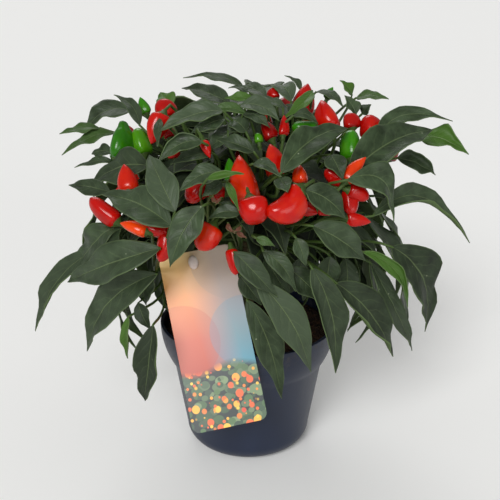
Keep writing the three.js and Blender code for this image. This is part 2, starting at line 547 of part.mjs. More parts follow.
// Pot, soil, card and stake
function potProfile(inset) {
  const { height, rimRadius, bendHeight, bendRadius, baseRadius, cornerRadius } = pot;
  const outer = [];
  for (let i = 0; i <= 4; i += 1) {
    const turn = (i / 4) * (Math.PI / 2);
    outer.push([baseRadius - cornerRadius * (1 - Math.sin(turn)), cornerRadius * (1 - Math.cos(turn))]);
  }
  outer.push([bendRadius, bendHeight]);
  const collar = height - bendHeight;
  [0.33, 0.66, 1].forEach((t) => {
    const flare = (rimRadius - bendRadius) * Math.sin((Math.PI / 2) * t ** 0.8);
    outer.push([bendRadius + flare, bendHeight + collar * t]);
  });
  return outer.map(([r, z]) => new THREE.Vector2(Math.max(r - inset, 0.1), z));
}

function potSolid() {
  const outer = potProfile(0);
  const flatRadius = pot.baseRadius - pot.cornerRadius + 2;
  const inner = potProfile(pot.wall).filter((p) => p.y > pot.floor && p.x > flatRadius).reverse();
  const rim = new THREE.Vector2(pot.rimRadius - pot.rimWidth, pot.height);
  const innerFloor = [new THREE.Vector2(flatRadius, pot.floor + 1.6), new THREE.Vector2(0, pot.floor)];
  const profile = [new THREE.Vector2(0, 0), ...outer, rim, ...inner.slice(1), ...innerFloor];
  const geometry = new THREE.LatheGeometry(profile, pot.sides);
  let solid = toSolid(geometry.rotateX(Math.PI / 2));
  for (let i = 0; i < pot.drainHoles; i += 1) {
    const turn = ((i + 0.5) / pot.drainHoles) * 2 * Math.PI;
    const hole = new THREE.CylinderGeometry(pot.drainRadius, pot.drainRadius, 20, 8).rotateX(Math.PI / 2);
    hole.translate(pot.drainCircle * Math.cos(turn), pot.drainCircle * Math.sin(turn), 0);
    solid = solid.subtract(toSolid(hole));
  }
  return solid;
}

const hangCard = (() => {
  // The card leans on the rim: its top is back among the leaves and its foot hangs out in front of the pot
  const topMiddle = vector(-36.5, -33, 162);
  const footMiddle = vector(-12.2, -86.5, 60);
  const down = footMiddle.clone().sub(topMiddle).normalize();
  const across = vector(1, 0, 0).addScaledVector(down, -down.x).normalize();
  const out = down.clone().cross(across).normalize();
  return { topMiddle, down, across, out };
})();

// From the card's own plane, with x across, y up from its top edge and z out of its face
function onCard(x, y, z) {
  const { topMiddle, down, across, out } = hangCard;
  return topMiddle.clone().addScaledVector(across, x).addScaledVector(down, -y).addScaledVector(out, z);
}

function cardSolid(grow = 0) {
  const [w, l, r] = [card.width / 2 + grow, card.length, card.corner];
  const shape = new THREE.Shape();
  shape.moveTo(-w + r, grow);
  shape.lineTo(w - r, grow);
  shape.absarc(w - r, grow - r, r, Math.PI / 2, 0, true);
  shape.lineTo(w, -l + r - grow);
  shape.absarc(w - r, -l + r - grow, r, 0, -Math.PI / 2, true);
  shape.lineTo(-w + r, -l - grow);
  shape.absarc(-w + r, -l + r - grow, r, -Math.PI / 2, -Math.PI, true);
  shape.lineTo(-w, grow - r);
  shape.absarc(-w + r, grow - r, r, Math.PI, Math.PI / 2, true);
  if (!grow) {
    const hole = new THREE.Path();
    hole.absarc(-w + card.holeInset[0], -card.holeInset[1], card.holeRadius, 0, 2 * Math.PI, false);
    shape.holes.push(hole);
  }
  const depth = card.thickness + 2 * grow;
  const geometry = new THREE.ExtrudeGeometry(shape, { depth, bevelEnabled: false, curveSegments: 5 });
  geometry.translate(0, 0, -grow);
  const frame = new THREE.Matrix4().makeBasis(hangCard.across, hangCard.down.clone().negate(), hangCard.out);
  frame.setPosition(hangCard.topMiddle);
  return toSolid(geometry.applyMatrix4(frame));
}

function stakeSolid(grow = 0) {
  const [hx, hy] = [-card.width / 2 + card.holeInset[0], -card.holeInset[1]];
  const behind = onCard(hx, hy, -stake.behind);
  const postTop = behind.z + stake.shoulder;
  const post = new THREE.BoxGeometry(
    stake.width + 2 * grow, stake.thickness + 2 * grow, postTop - stake.bottom + 2 * grow,
  );
  post.translate(behind.x, behind.y, (postTop + stake.bottom) / 2);
  const neckEnds = [onCard(hx, hy, -stake.neckBack), onCard(hx, hy, stake.neckFront)];
  const neck = stalkSolid(neckEnds, Array(2).fill(stake.neckRadius + grow), 8);
  const head = new THREE.SphereGeometry(stake.headRadius + grow, 8, 6);
  head.scale(1, stake.headLength / stake.headRadius / 2, 0.5);
  const frame = new THREE.Matrix4().makeBasis(hangCard.across, hangCard.down.clone().negate(), hangCard.out);
  frame.setPosition(onCard(hx, hy, stake.neckFront + clearance));
  return toSolid(post).add(neck).add(toSolid(head.applyMatrix4(frame)));
}

function soilSolid() {
  const { edgeHeight, domeRise, gap, sides, stemHole, holeDepth } = soil;
  const flatRadius = pot.baseRadius - pot.cornerRadius;
  const wall = potProfile(pot.wall + gap).filter((p) => p.y < edgeHeight && p.x > flatRadius + 1);
  const edge = new THREE.Vector2(pot.rimRadius - pot.wall - gap - 2.6, edgeHeight);
  const bottom = pot.floor + clearance + 1.8;
  const profile = [new THREE.Vector2(0, bottom), new THREE.Vector2(flatRadius, bottom)];
  profile.push(...wall.filter((p) => p.y > bottom + 2), edge);
  [0.8, 0.55, 0.28].forEach((t) => {
    profile.push(new THREE.Vector2(edge.x * t, edgeHeight + domeRise * (1 - t * t)));
  });
  profile.push(new THREE.Vector2(0, edgeHeight + domeRise));
  const geometry = new THREE.LatheGeometry(profile, sides).rotateX(Math.PI / 2);
  const position = geometry.attributes.position;
  for (let i = 0; i < position.count; i += 1) {
    const [x, y, z] = [position.getX(i), position.getY(i), position.getZ(i)];
    const lump = Math.sin(x * 0.31 + 1) * Math.cos(y * 0.27) + 0.6 * Math.sin(x * 0.11 - y * 0.19);
    if (z > edgeHeight + 0.1) position.setZ(i, z + 1.3 * lump);
  }
  const hole = new THREE.CylinderGeometry(stemHole, stemHole, 2 * holeDepth, 10).rotateX(Math.PI / 2);
  hole.translate(0, 0, edgeHeight + domeRise);
  return toSolid(geometry).subtract(toSolid(hole));
}

// The whole plant: fixed pieces, peppers, then leafy stems, each kept clear of those placed before it
const group = new THREE.Group();
group.name = "potted_chilli_pepper_plant";

function place(name, solid, material) {
  const mesh = new THREE.Mesh(toGeometry(solid), material);
  mesh.name = name;
  group.add(mesh);
}

const leaves = [...seenLeaves.map(seenLeaf), ...backLeaves()];
const peppers = [...seenPeppers.map(seenPepper), ...backPeppers()];
// Each stalk leaves the nearest branch, one after another along its outer half
[...leaves, ...peppers].forEach((piece) => {
  piece.stem ??= nearestHub(piece.base);
});
const held = (pieces, stem) => pieces.filter((piece) => piece.stem === stem);
hubs.forEach(({ hub, root }, stem) => {
  const carried = held([...leaves, ...peppers], stem);
  carried.forEach((piece, i) => {
    piece.root = root.clone().lerp(hub, THREE.MathUtils.lerp(stalk.firstRoot, 1, (i + 1) / carried.length));
  });
});

const fixed = {
  pot: potSolid(),
  soil: soilSolid().subtract(stakeSolid(clearance)),
  main_stem: mainStem(),
  label_card: cardSolid(),
  label_stake: stakeSolid(),
};
place("pot", fixed.pot, finishes.plastic);
place("soil", fixed.soil, finishes.soil);
place("main_stem", fixed.main_stem, finishes.wood);
place("label_card", fixed.label_card, finishes.card);
place("label_stake", fixed.label_stake, finishes.peg);

const keepOut = [cardSolid(clearance), stakeSolid(clearance)];

const leafGuards = leaves.map((plan) => leafSolid(plan, clearance));
const pepperGuards = peppers.map((pepper) => pepperSolid(pepper, clearance));
const guardRadius = 1.25 * (stalk.petioleRadius + clearance);
const leafStalkGuards = hubs.map((_, stem) =>
  held(leaves, stem).map((plan) => stalkSolid([plan.root, plan.base], Array(2).fill(guardRadius), 5)));
const stalkGuards = hubs.map((hub, stem) => [
  branchSolid(hub, clearance),
  ...held(peppers, stem).map((pepper) => pedicelSolid(pepper, 1.3 * clearance)),
  ...leafStalkGuards[stem],
]);

const ripe = {};
peppers.forEach((pepper) => {
  const body = pepperSolid(pepper);
  ripe[pepper.bunch] = ripe[pepper.bunch] ? ripe[pepper.bunch].add(body) : body;
});
const bunches = Object.keys(ripe);
bunches.forEach((name, i) => {
  const earlier = pepperGuards.filter((_, j) => bunches.indexOf(peppers[j].bunch) < i);
  const body = tidy(cutBy(ripe[name], [...stalkGuards.flat(), ...earlier]));
  place(name, body, name.startsWith("green") ? finishes.green : finishes.red);
});

const before = [];
hubs.forEach((hub, stem) => {
  const others = stalkGuards.filter((_, i) => i !== stem).flat();
  const sparing = (guard) => cutBy(guard, leafStalkGuards[stem]);
  const sparingStalks = [...pepperGuards, ...keepOut, ...before].map(sparing);
  const cutters = [...others, ...sparingStalks];
  const blades = held(leaves, stem).map((plan) => cutBy(leafSolid(plan), cutters));
  const pedicels = held(peppers, stem).map((pepper) => pedicelSolid(pepper));
  const solid = [branchSolid(hub), ...pedicels, ...blades].reduce((a, b) => a.add(b));
  place(`leafy_stem_${String(stem + 1).padStart(2, "0")}`, tidy(solid), finishes.leaf);
  leaves.forEach((plan, i) => {
    if (plan.stem === stem) before.push(leafGuards[i]);
  });
});

export default group;
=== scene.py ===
import math
from functools import partial

import bmesh
import bpy
import numpy as np
from mathutils import Matrix, Vector, geometry, noise


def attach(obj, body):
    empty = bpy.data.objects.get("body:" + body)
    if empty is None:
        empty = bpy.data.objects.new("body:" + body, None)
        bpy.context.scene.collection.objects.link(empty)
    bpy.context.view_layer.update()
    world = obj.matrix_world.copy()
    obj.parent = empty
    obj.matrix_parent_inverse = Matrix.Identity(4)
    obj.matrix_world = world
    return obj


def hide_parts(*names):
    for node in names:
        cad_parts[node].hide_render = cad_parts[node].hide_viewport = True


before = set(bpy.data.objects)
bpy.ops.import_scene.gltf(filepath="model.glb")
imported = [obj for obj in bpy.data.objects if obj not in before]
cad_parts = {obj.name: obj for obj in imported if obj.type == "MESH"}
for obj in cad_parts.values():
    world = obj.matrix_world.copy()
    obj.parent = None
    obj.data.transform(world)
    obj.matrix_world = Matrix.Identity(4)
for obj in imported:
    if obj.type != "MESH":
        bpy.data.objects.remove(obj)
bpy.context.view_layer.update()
mm = 0.001
# How near points are joined, in millimetres
welds = {"blade": 0.004, "spun": 0.01, "fruit": 0.02, "card": 0.001}
print("frame loaded")


seeding = {"step": 12.9898, "gain": 43758.5453}


# A number from 0 to 1 that looks random, and is the same each time for one n
def scatter(n):
    s = math.sin(n * seeding["step"]) * seeding["gain"]
    return s - math.floor(s)


def spread(leastAndRange, n):
    return leastAndRange[0] + leastAndRange[1] * scatter(n)


def mix(a, b, share):
    return a + (b - a) * share


def clamp(value, low, high):
    return max(low, min(high, value))


def newObject(name, data):
    made = bpy.data.objects.new(name, data)
    bpy.context.scene.collection.objects.link(made)
    return made


# The mesh of an object with its curve or its modifiers worked out
def finishedMesh(holder):
    return bpy.data.meshes.new_from_object(holder.evaluated_get(bpy.context.evaluated_depsgraph_get()))


# A piece of the plant from a bmesh in millimetres, with the CAD node that it stands for
def newPiece(name, bm, coats, node=None, smooth=True):
    bmesh.ops.scale(bm, vec=(mm, mm, mm), verts=bm.verts[:])
    for face in bm.faces:
        face.smooth = smooth
    mesh = bpy.data.meshes.new(name)
    bm.to_mesh(mesh)
    bm.free()
    for coat in coats:
        mesh.materials.append(finishes[coat])
    piece = newObject(name, mesh)
    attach(piece, "root")
    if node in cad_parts:
        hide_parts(node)
    return piece


# The mesh of a curve: each line is a list of (point, radius)
def curveMesh(settings, lines, closed=False):
    curve = bpy.data.curves.new("line", "CURVE")
    for name, value in settings.items():
        setattr(curve, name, value)
    for line in lines:
        spline = curve.splines.new("POLY")
        spline.points.add(len(line) - 1)
        spline.use_cyclic_u = closed
        for knot, (point, radius) in zip(spline.points, line):
            knot.co = (*point, 1)
            knot.radius = radius
    holder = newObject("line", curve)
    mesh = finishedMesh(holder)
    bpy.data.objects.remove(holder)
    bpy.data.curves.remove(curve)
    return mesh


# Points with a radius that changes evenly along them
def tapered(points, radii):
    last = len(points) - 1
    return [(point, mix(*radii, i / last)) for i, point in enumerate(points)]


def straight(start, end, radii, count=6):
    return tapered([start.lerp(end, i / (count - 1)) for i in range(count)], radii)


# A mesh of round stalks in millimetres
def stalkMesh(paths, roundness=1):
    settings = {"dimensions": "3D", "bevel_depth": 1, "bevel_resolution": roundness, "use_fill_caps": True}
    return curveMesh(settings, paths)


# Spins a line of (radius, height) round the upright axis and hands over the new vertices
def spin(bm, profile, steps):
    before = set(bm.verts)
    start = [bm.verts.new((r, 0, z)) for r, z in profile]
    edges = [bm.edges.new(pair) for pair in zip(start, start[1:])]
    upright = {"cent": (0, 0, 0), "axis": (0, 0, 1), "angle": 2 * math.pi}
    bmesh.ops.spin(bm, geom=start + edges, steps=steps, use_merge=True, **upright)
    return [vert for vert in bm.verts if vert not in before]


# The turn from upright to a way, and the move to a place
def turnedTo(way, place):
    turned = Vector((0, 0, 1)).rotation_difference(way).to_matrix().to_4x4()
    turned.translation = place
    return turned


# The viewpoint: how far in front, how high, how far tilted down, its focal length and middle in pixels
viewpoint = {"distance": 600, "height": 369, "pitch": math.radians(20), "focal": 880, "middle": (248, 250)}
photoSize = 500
sensorWidth = 36


def makeCamera():
    data = bpy.data.cameras.new("camera")
    data.sensor_width = sensorWidth
    data.lens = sensorWidth * viewpoint["focal"] / photoSize
    data.shift_x = (photoSize / 2 - viewpoint["middle"][0]) / photoSize
    camera = newObject("camera", data)
    camera.location = (0, -viewpoint["distance"] * mm, viewpoint["height"] * mm)
    camera.rotation_euler = (math.pi / 2 - viewpoint["pitch"], 0, 0)
    bpy.context.scene.camera = camera


makeCamera()


# An sRGB hex value as a linear colour
def linear(hexValue):
    channels = [int(hexValue[i:i + 2], 16) / 255 for i in (1, 3, 5)]
    return (*[c / 12.92 if c <= 0.04045 else ((c + 0.055) / 1.055) ** 2.4 for c in channels], 1)


# Each input is a value, or another node's output that is linked to it
def setInputs(tree, node, inputs):
    for slot, value in inputs.items() if isinstance(inputs, dict) else enumerate(inputs):
        if isinstance(value, bpy.types.NodeSocket):
            tree.links.new(value, node.inputs[slot])
        else:
            node.inputs[slot].default_value = value


# Adds a node with its inputs, the stops of its ramp and its settings, and hands over one of its outputs
def addNode(tree, kind, inputs=(), output=0, stops=(), **settings):
    node = tree.nodes.new("ShaderNode" + kind)
    for name, value in settings.items():
        setattr(node, name, value)
    setInputs(tree, node, inputs)
    for i, (place, colour) in enumerate(stops):
        elements = node.color_ramp.elements
        element = elements[i] if i < len(elements) else elements.new(place)
        element.position, element.color = place, linear(colour)
    return node.outputs[output]


# A look holds the marks, each with its real size in millimetres, its detail and how far it is stretched,
# the strength and depth of the relief, and what is the same all over. The recipe adds the other nodes.
def newMaterial(name, recipe, look):
    material = bpy.data.materials.new(name)
    material.use_nodes = True
    tree = material.node_tree
    add = partial(addNode, tree)
    place = add("TexCoord", output="Object")
    marks = {}
    for mark, (size, detail, *stretch) in look["marks"].items():
        vector = add("Mapping", {"Vector": place, "Scale": stretch[0]}) if stretch else place
        marks[mark] = add("TexNoise", {"Vector": vector, "Scale": 1 / (size * mm), "Detail": detail})
    tone, height, *rough = recipe(add, look, place, **marks)
    inputs = {"Base Color": tone, **look["plain"]}
    if rough:
        inputs["Roughness"] = rough[0]
    if "relief" in look:
        strength, depth = look["relief"]
        inputs["Normal"] = add("Bump", {"Strength": strength, "Distance": depth * mm, "Height": height})
    setInputs(tree, tree.nodes["Principled BSDF"], inputs)
    return material


# Living leaf blade: waxy and dark above with a soft sheen, paler and matt below, with a pale midrib and
# sunk veins. Its colour also holds painted light: painted shade on the leaves inside and low in the canopy,
# a grey tint that is partly a painted sheen, and a pale margin that is partly a painted edge highlight.
leafTints = ("young", "grey", "shade", "dry", "under")
leafLook = {
    "shaded": "#0b1208", "deep": "#17230f", "lit": "#425338", "dry": "#5a3427", "under": "#4f6335",
    "young": "#42661c", "grey": "#47553f", "rib": "#75865a", "vein": "#75865a", "margin": "#66794f",
    "speck": "#aab094",
    "marks": {"mottle": (9, 3), "wander": (7, 3), "grain": (0.7, 2)}, "wanderBy": 0.8,
    "patches": (0.25, 0.75), "veinPairs": 7.5, "sweep": 1.9, "sweepPower": 1.35, "veinSharpness": 26,
    "veinFade": (0.95, 0.35), "ribEdge": (0.055, 0.012), "marginEdge": (0.92, 1.0), "specks": 8,
    "speckEdge": (0.07, 0.04),
    "cover": {"under": 0.75, "vein": 0.09, "rib": 0.38, "margin": 0.4, "speck": 0.5},
    # The rise of grain, swelling and rib, and how much rougher underside, shaded leaves and mottle are
    "rises": (0.5, -0.6, -1.5), "rougher": (0.25, 0.3, 0.12),
    "speckPatches": (0.5, 0.6), "swellPower": 2.5, "swellFade": (1.0, 0.6), "swellPatches": (0.35, 0.65),
    "relief": (0.6, 0.45), "roughness": 0.32, "plain": {"IOR": 1.45, "Specular IOR Level": 0.26},
}


def leafBlade(add, look, place, mottle, wander, grain):
    tint = {name: add("Attribute", output="Fac", attribute_name=name) for name in leafTints}
    aside = add("SeparateXYZ", (add("UVMap"),))
    along = aside.node.outputs["Y"]
    across = add("Math", (add("Math", (aside, 2, -1), operation="MULTIPLY_ADD"),), operation="ABSOLUTE")
    # Side veins leave the midrib in pairs and sweep towards the tip
    swept = add("Math", (across, look["sweepPower"]), operation="POWER")
    phase = -look["wanderBy"] / 2
    for part, amount in ((wander, look["wanderBy"]), (along, look["veinPairs"]), (swept, -look["sweep"])):
        phase = add("Math", (part, amount, phase), operation="MULTIPLY_ADD")
    turn = add("Math", (phase, 2 * math.pi), operation="MULTIPLY")
    wave = add("Math", (add("Math", (turn,), operation="COSINE"), 0.5, 0.5), operation="MULTIPLY_ADD")
    vein = add("Math", (wave, look["veinSharpness"]), operation="POWER")
    swell = add("Math", (wave, look["swellPower"]), operation="POWER")
    # The pale margin along the edge is partly the leaf's own colour and partly a painted edge highlight
    rib, margin, veinFade, swellFade = (
        add("MapRange", (across, *look[edge])) for edge in ("ribEdge", "marginEdge", "veinFade", "swellFade")
    )
    patches, speckPatches, swellPatches = (
        add("MapRange", (mottle, *look[edge])) for edge in ("patches", "speckPatches", "swellPatches")
    )
    # A few pale specks of dust and dried drops
    cells = add("TexVoronoi", {"Vector": place, "Scale": 1 / (look["specks"] * mm)})
    speck = add("Math", (add("MapRange", (cells, *look["speckEdge"])), speckPatches), operation="MULTIPLY")
    vein = add("Math", (vein, veinFade), operation="MULTIPLY")
    # Where each layer of colour lies. The shaded layer is painted shade, the grey one is partly a painted
    # sheen, and the margin is partly a painted edge highlight.
    layers = {
        "lit": patches, "shaded": tint["shade"], "grey": tint["grey"], "young": tint["young"],
        "under": tint["under"], "dry": tint["dry"], "vein": vein, "rib": rib, "margin": margin,
        "speck": speck,
    }
    tone = linear(look["deep"])
    for layer, where in layers.items():
        share = add("Math", (where, look["cover"].get(layer, 1)), operation="MULTIPLY")
        tone = add("Mix", {0: share, 6: tone, 7: linear(look[layer])}, 2, data_type="RGBA")
    # The blade swells between its veins
    for fade in (swellFade, swellPatches):
        swell = add("Math", (swell, fade), operation="MULTIPLY")
    height = 0
    for part, amount in zip((grain, swell, rib), look["rises"]):
        height = add("Math", (part, amount, height), operation="MULTIPLY_ADD")
    # The underside and the leaves deep inside shine less
    rough = look["roughness"]
    for part, amount in zip((tint["under"], tint["shade"], mottle), look["rougher"]):
        rough = add("Math", (part, amount, rough), operation="MULTIPLY_ADD")
    return tone, height, rough


# Soft green stalk: ridged along its length, with a dull skin
stalkLook = {
    "stops": [(0.0, "#314c1b"), (1.0, "#445426")], "marks": {"cloud": (2.5, 3), "ridge": (0.8, 3)},
    "relief": (0.5, 0.15), "plain": {"Roughness": 0.5, "IOR": 1.42, "Specular IOR Level": 0.35},
}
# Woody foot of the stem: green-brown bark, cracked along its length
barkLook = {
    "stops": [(0.35, "#54452b"), (0.65, "#474c28")], "marks": {"cloud": (3, 5, (1, 1, 0.25))},
    "relief": (0.8, 0.6), "plain": {"Roughness": 0.78},
}
# Uncoated back of the card: pale board with a faint fibre
boardLook = {
    "stops": [(0.3, "#ddd8cc"), (0.7, "#e8e4da")], "marks": {"cloud": (0.9, 3)}, "plain": {"Roughness": 0.7},
}
# Pale moulded nylon of the peg: slightly see-through at its edges, satin
pegLook = {
    "stops": [(0.3, "#dcc6bd"), (0.7, "#efe2da")], "marks": {"cloud": (3, 3)},
    "plain": {
        "Roughness": 0.38, "IOR": 1.53, "Subsurface Weight": 0.15,
        "Subsurface Radius": (0.002, 0.0015, 0.001),
    },
}


# Two colours that change into each other cloud by cloud
def cloudy(add, look, place, cloud, ridge=None):
    return add("ValToRGB", (cloud,), stops=look["stops"]), ridge or cloud


# Chilli skin: thick, smooth and waxed by nature, so it shows sharp highlights over a deep colour
skinLook = {
    "marks": {"blotch": (11, 2), "dimple": (3.2, 1)}, "blotchBy": 0.5, "relief": (0.35, 0.35),
    "plain": {
        "Roughness": 0.2, "IOR": 1.4, "Specular IOR Level": 0.42, "Subsurface Weight": 0.03,
        "Subsurface Radius": (0.004, 0.0012, 0.0006),
    },
}
redLook = {"stops": [(0.0, "#640302"), (0.45, "#b00b03"), (1.0, "#dc4208")], **skinLook}
greenLook = {"stops": [(0.0, "#0f3603"), (0.45, "#2c7206"), (1.0, "#6aa51c")], **skinLook}


def chilliSkin(add, look, place, blotch, dimple):
    hue = add("Attribute", output="Fac", attribute_name="hue")
    blotch = add("Math", (blotch, look["blotchBy"], -look["blotchBy"] / 2), operation="MULTIPLY_ADD")
    return add("ValToRGB", (add("Math", (hue, blotch), operation="ADD"),), stops=look["stops"]), dimple


# Moulded polypropylene: an even slate blue with a fine satin grain, faint flow marks and peat dust near the
# rim
potLook = {
    "body": "#141c2e", "light": "#1d273d", "dust": "#575047", "dustPatches": (0.5, 0.72),
    "dustFrom": (0.078, 0.098), "dustCover": 0.5, "roughness": 0.36, "rougher": (0.16, 0.3),
    "marks": {"flow": (14, 4, (1, 1, 0.3)), "grit": (4, 5), "grain": (0.5, 2)}, "relief": (0.6, 0.05),
    "plain": {"IOR": 1.49, "Specular IOR Level": 0.4},
}


def mouldedPolypropylene(add, look, place, flow, grit, grain):
    high = add("MapRange", (add("SeparateXYZ", (place,), "Z"), *look["dustFrom"]))
    dust = add("Math", (add("MapRange", (grit, *look["dustPatches"])), high), operation="MULTIPLY")
    cover = add("Math", (dust, look["dustCover"]), operation="MULTIPLY")
    tone = linear(look["body"])
    for share, colour in ((flow, "light"), (cover, "dust")):
        tone = add("Mix", {0: share, 6: tone, 7: linear(look[colour])}, 2, data_type="RGBA")
    rough = look["roughness"]
    for part, amount in zip((flow, dust), look["rougher"]):
        rough = add("Math", (part, amount, rough), operation="MULTIPLY_ADD")
    return tone, grain, rough


# Peat compost: dark and damp, crumbly, with reddish fibres
soilLook = {
    "dark": "#1f140e", "stops": [(0.3, "#1f140e"), (0.58, "#46301f"), (0.78, "#84503a")],
    "marks": {"clod": (5, 5), "crumb": (1.6, 4)}, "damp": (0.6, 0.35), "relief": (0.9, 1.4),
    "plain": {"Roughness": 0.95, "IOR": 1.35},
}


def peatCompost(add, look, place, clod, crumb):
    tone, damp = add("ValToRGB", (crumb,), stops=look["stops"]), add("MapRange", (clod, *look["damp"]))
    tone = add("Mix", {0: damp, 6: tone, 7: linear(look["dark"])}, 2, data_type="RGBA")
    return tone, add("Math", (crumb, clod), operation="ADD")


# Coated print on card: a smooth blend of warm to cool colours over a band of plain ovals and dots
leafyStops = [(0.0, "#4f6f42"), (0.35, "#274032"), (0.6, "#7e9369"), (0.8, "#37533a")]
fruityStops = [(0.0, "#e2402a"), (0.25, "#f58f33"), (0.5, "#f9cf4a"), (0.75, "#e8622f")]
cardLook = {
    "warm": [(0.3, "#ad4838"), (0.5, "#cc6446"), (0.75, "#f09c58"), (1.0, "#ffdb90")],
    "cool": [(0.3, "#3f94aa"), (0.5, "#7c9296"), (0.7, "#a09290"), (1.0, "#c0a78d")],
    "lean": 0.25, "warmToCool": (0.45, 0.95), "ground": "#182826", "tall": 2.37, "roundCover": 0.32,
    "roundEdge": 0.006, "motifEdge": 0.05, "band": (0.35, 0.31), "ripples": 7, "rippleHeight": 0.02,
    # Each round: its middle, its radius and its colour
    "rounds": [
        ((0.95, 0.92), 0.55, "#9d8b80"), ((0.1, 0.5), 0.5, "#b9452f"), ((0.95, 0.5), 0.48, "#4289a3"),
    ],
    # Each layer of ovals or dots: how many fit across and up, how they lean, their size and their colours
    "motifs": [
        ((12, 42, 1), 0.6, 0.62, leafyStops), ((16, 44, 1), -0.5, 0.5, leafyStops),
        ((15, 33, 1), 0.2, 0.42, fruityStops), ((26, 60, 1), 0.0, 0.3, fruityStops),
    ],
    "cells": {"Scale": 0.5, "Randomness": 0.8}, "marks": {},
    "plain": {"Roughness": 0.36, "Coat Weight": 0.1, "Coat Roughness": 0.2},
}


def coatedPrint(add, look, place):
    uv = add("UVMap")
    across = add("SeparateXYZ", (uv,))
    upward = across.node.outputs["Y"]
    warm, cool = (add("ValToRGB", (upward,), stops=look[name]) for name in ("warm", "cool"))
    slanted = add("Math", (upward, look["lean"], across), operation="MULTIPLY_ADD")
    share = add("MapRange", (slanted, *look["warmToCool"]))
    sky = add("Mix", {0: share, 6: warm, 7: cool}, 2, data_type="RGBA")
    # Wide see-through rounds overlap above the band
    tall = add("Mapping", {"Vector": uv, "Scale": (1, look["tall"], 1)})
    for (x, y), radius, tint in look["rounds"]:
        away = add("VectorMath", (tall, (x, y * look["tall"], 0)), "Value", operation="DISTANCE")
        inside = add("MapRange", (away, radius + look["roundEdge"], radius - look["roundEdge"]))
        inside = add("Math", (inside, look["roundCover"]), operation="MULTIPLY")
        sky = add("Mix", {0: inside, 6: sky, 7: linear(tint)}, 2, data_type="RGBA")
    # Ovals lean one way and round dots lie over them
    tone = linear(look["ground"])
    for scale, lean, size, stops in look["motifs"]:
        vector = add("Mapping", {"Vector": uv, "Rotation": (0, 0, lean), "Scale": scale})
        cells = add("TexVoronoi", {"Vector": vector, **look["cells"]})
        inside = add("MapRange", (cells, size, size - look["motifEdge"]))
        motif = add("ValToRGB", (add("SeparateColor", (cells.node.outputs["Color"],)),), stops=stops)
        tone = add("Mix", {0: inside, 6: tone, 7: motif}, 2, data_type="RGBA")
    wave = add("Math", (add("Math", (across, look["ripples"]), operation="MULTIPLY"),), operation="SINE")
    edge = add("Math", (wave, look["rippleHeight"], upward), operation="MULTIPLY_ADD")
    band = add("MapRange", (edge, *look["band"]))
    return add("Mix", {0: band, 6: sky, 7: tone}, 2, data_type="RGBA"), None


finishes = {
    "leaf": newMaterial("leafBlade", leafBlade, leafLook),
    "stalk": newMaterial("greenStalk", cloudy, stalkLook),
    "bark": newMaterial("stemBark", cloudy, barkLook),
    "red": newMaterial("ripeChilliSkin", chilliSkin, redLook),
    "green": newMaterial("unripeChilliSkin", chilliSkin, greenLook),
    "pot": newMaterial("mouldedPolypropylene", mouldedPolypropylene, potLook),
    "soil": newMaterial("peatCompost", peatCompost, soilLook),
    "print": newMaterial("coatedPrint", coatedPrint, cardLook),
    "board": newMaterial("paleBoard", cloudy, boardLook),
    "peg": newMaterial("mouldedNylon", cloudy, pegLook),
}
print("materials made")


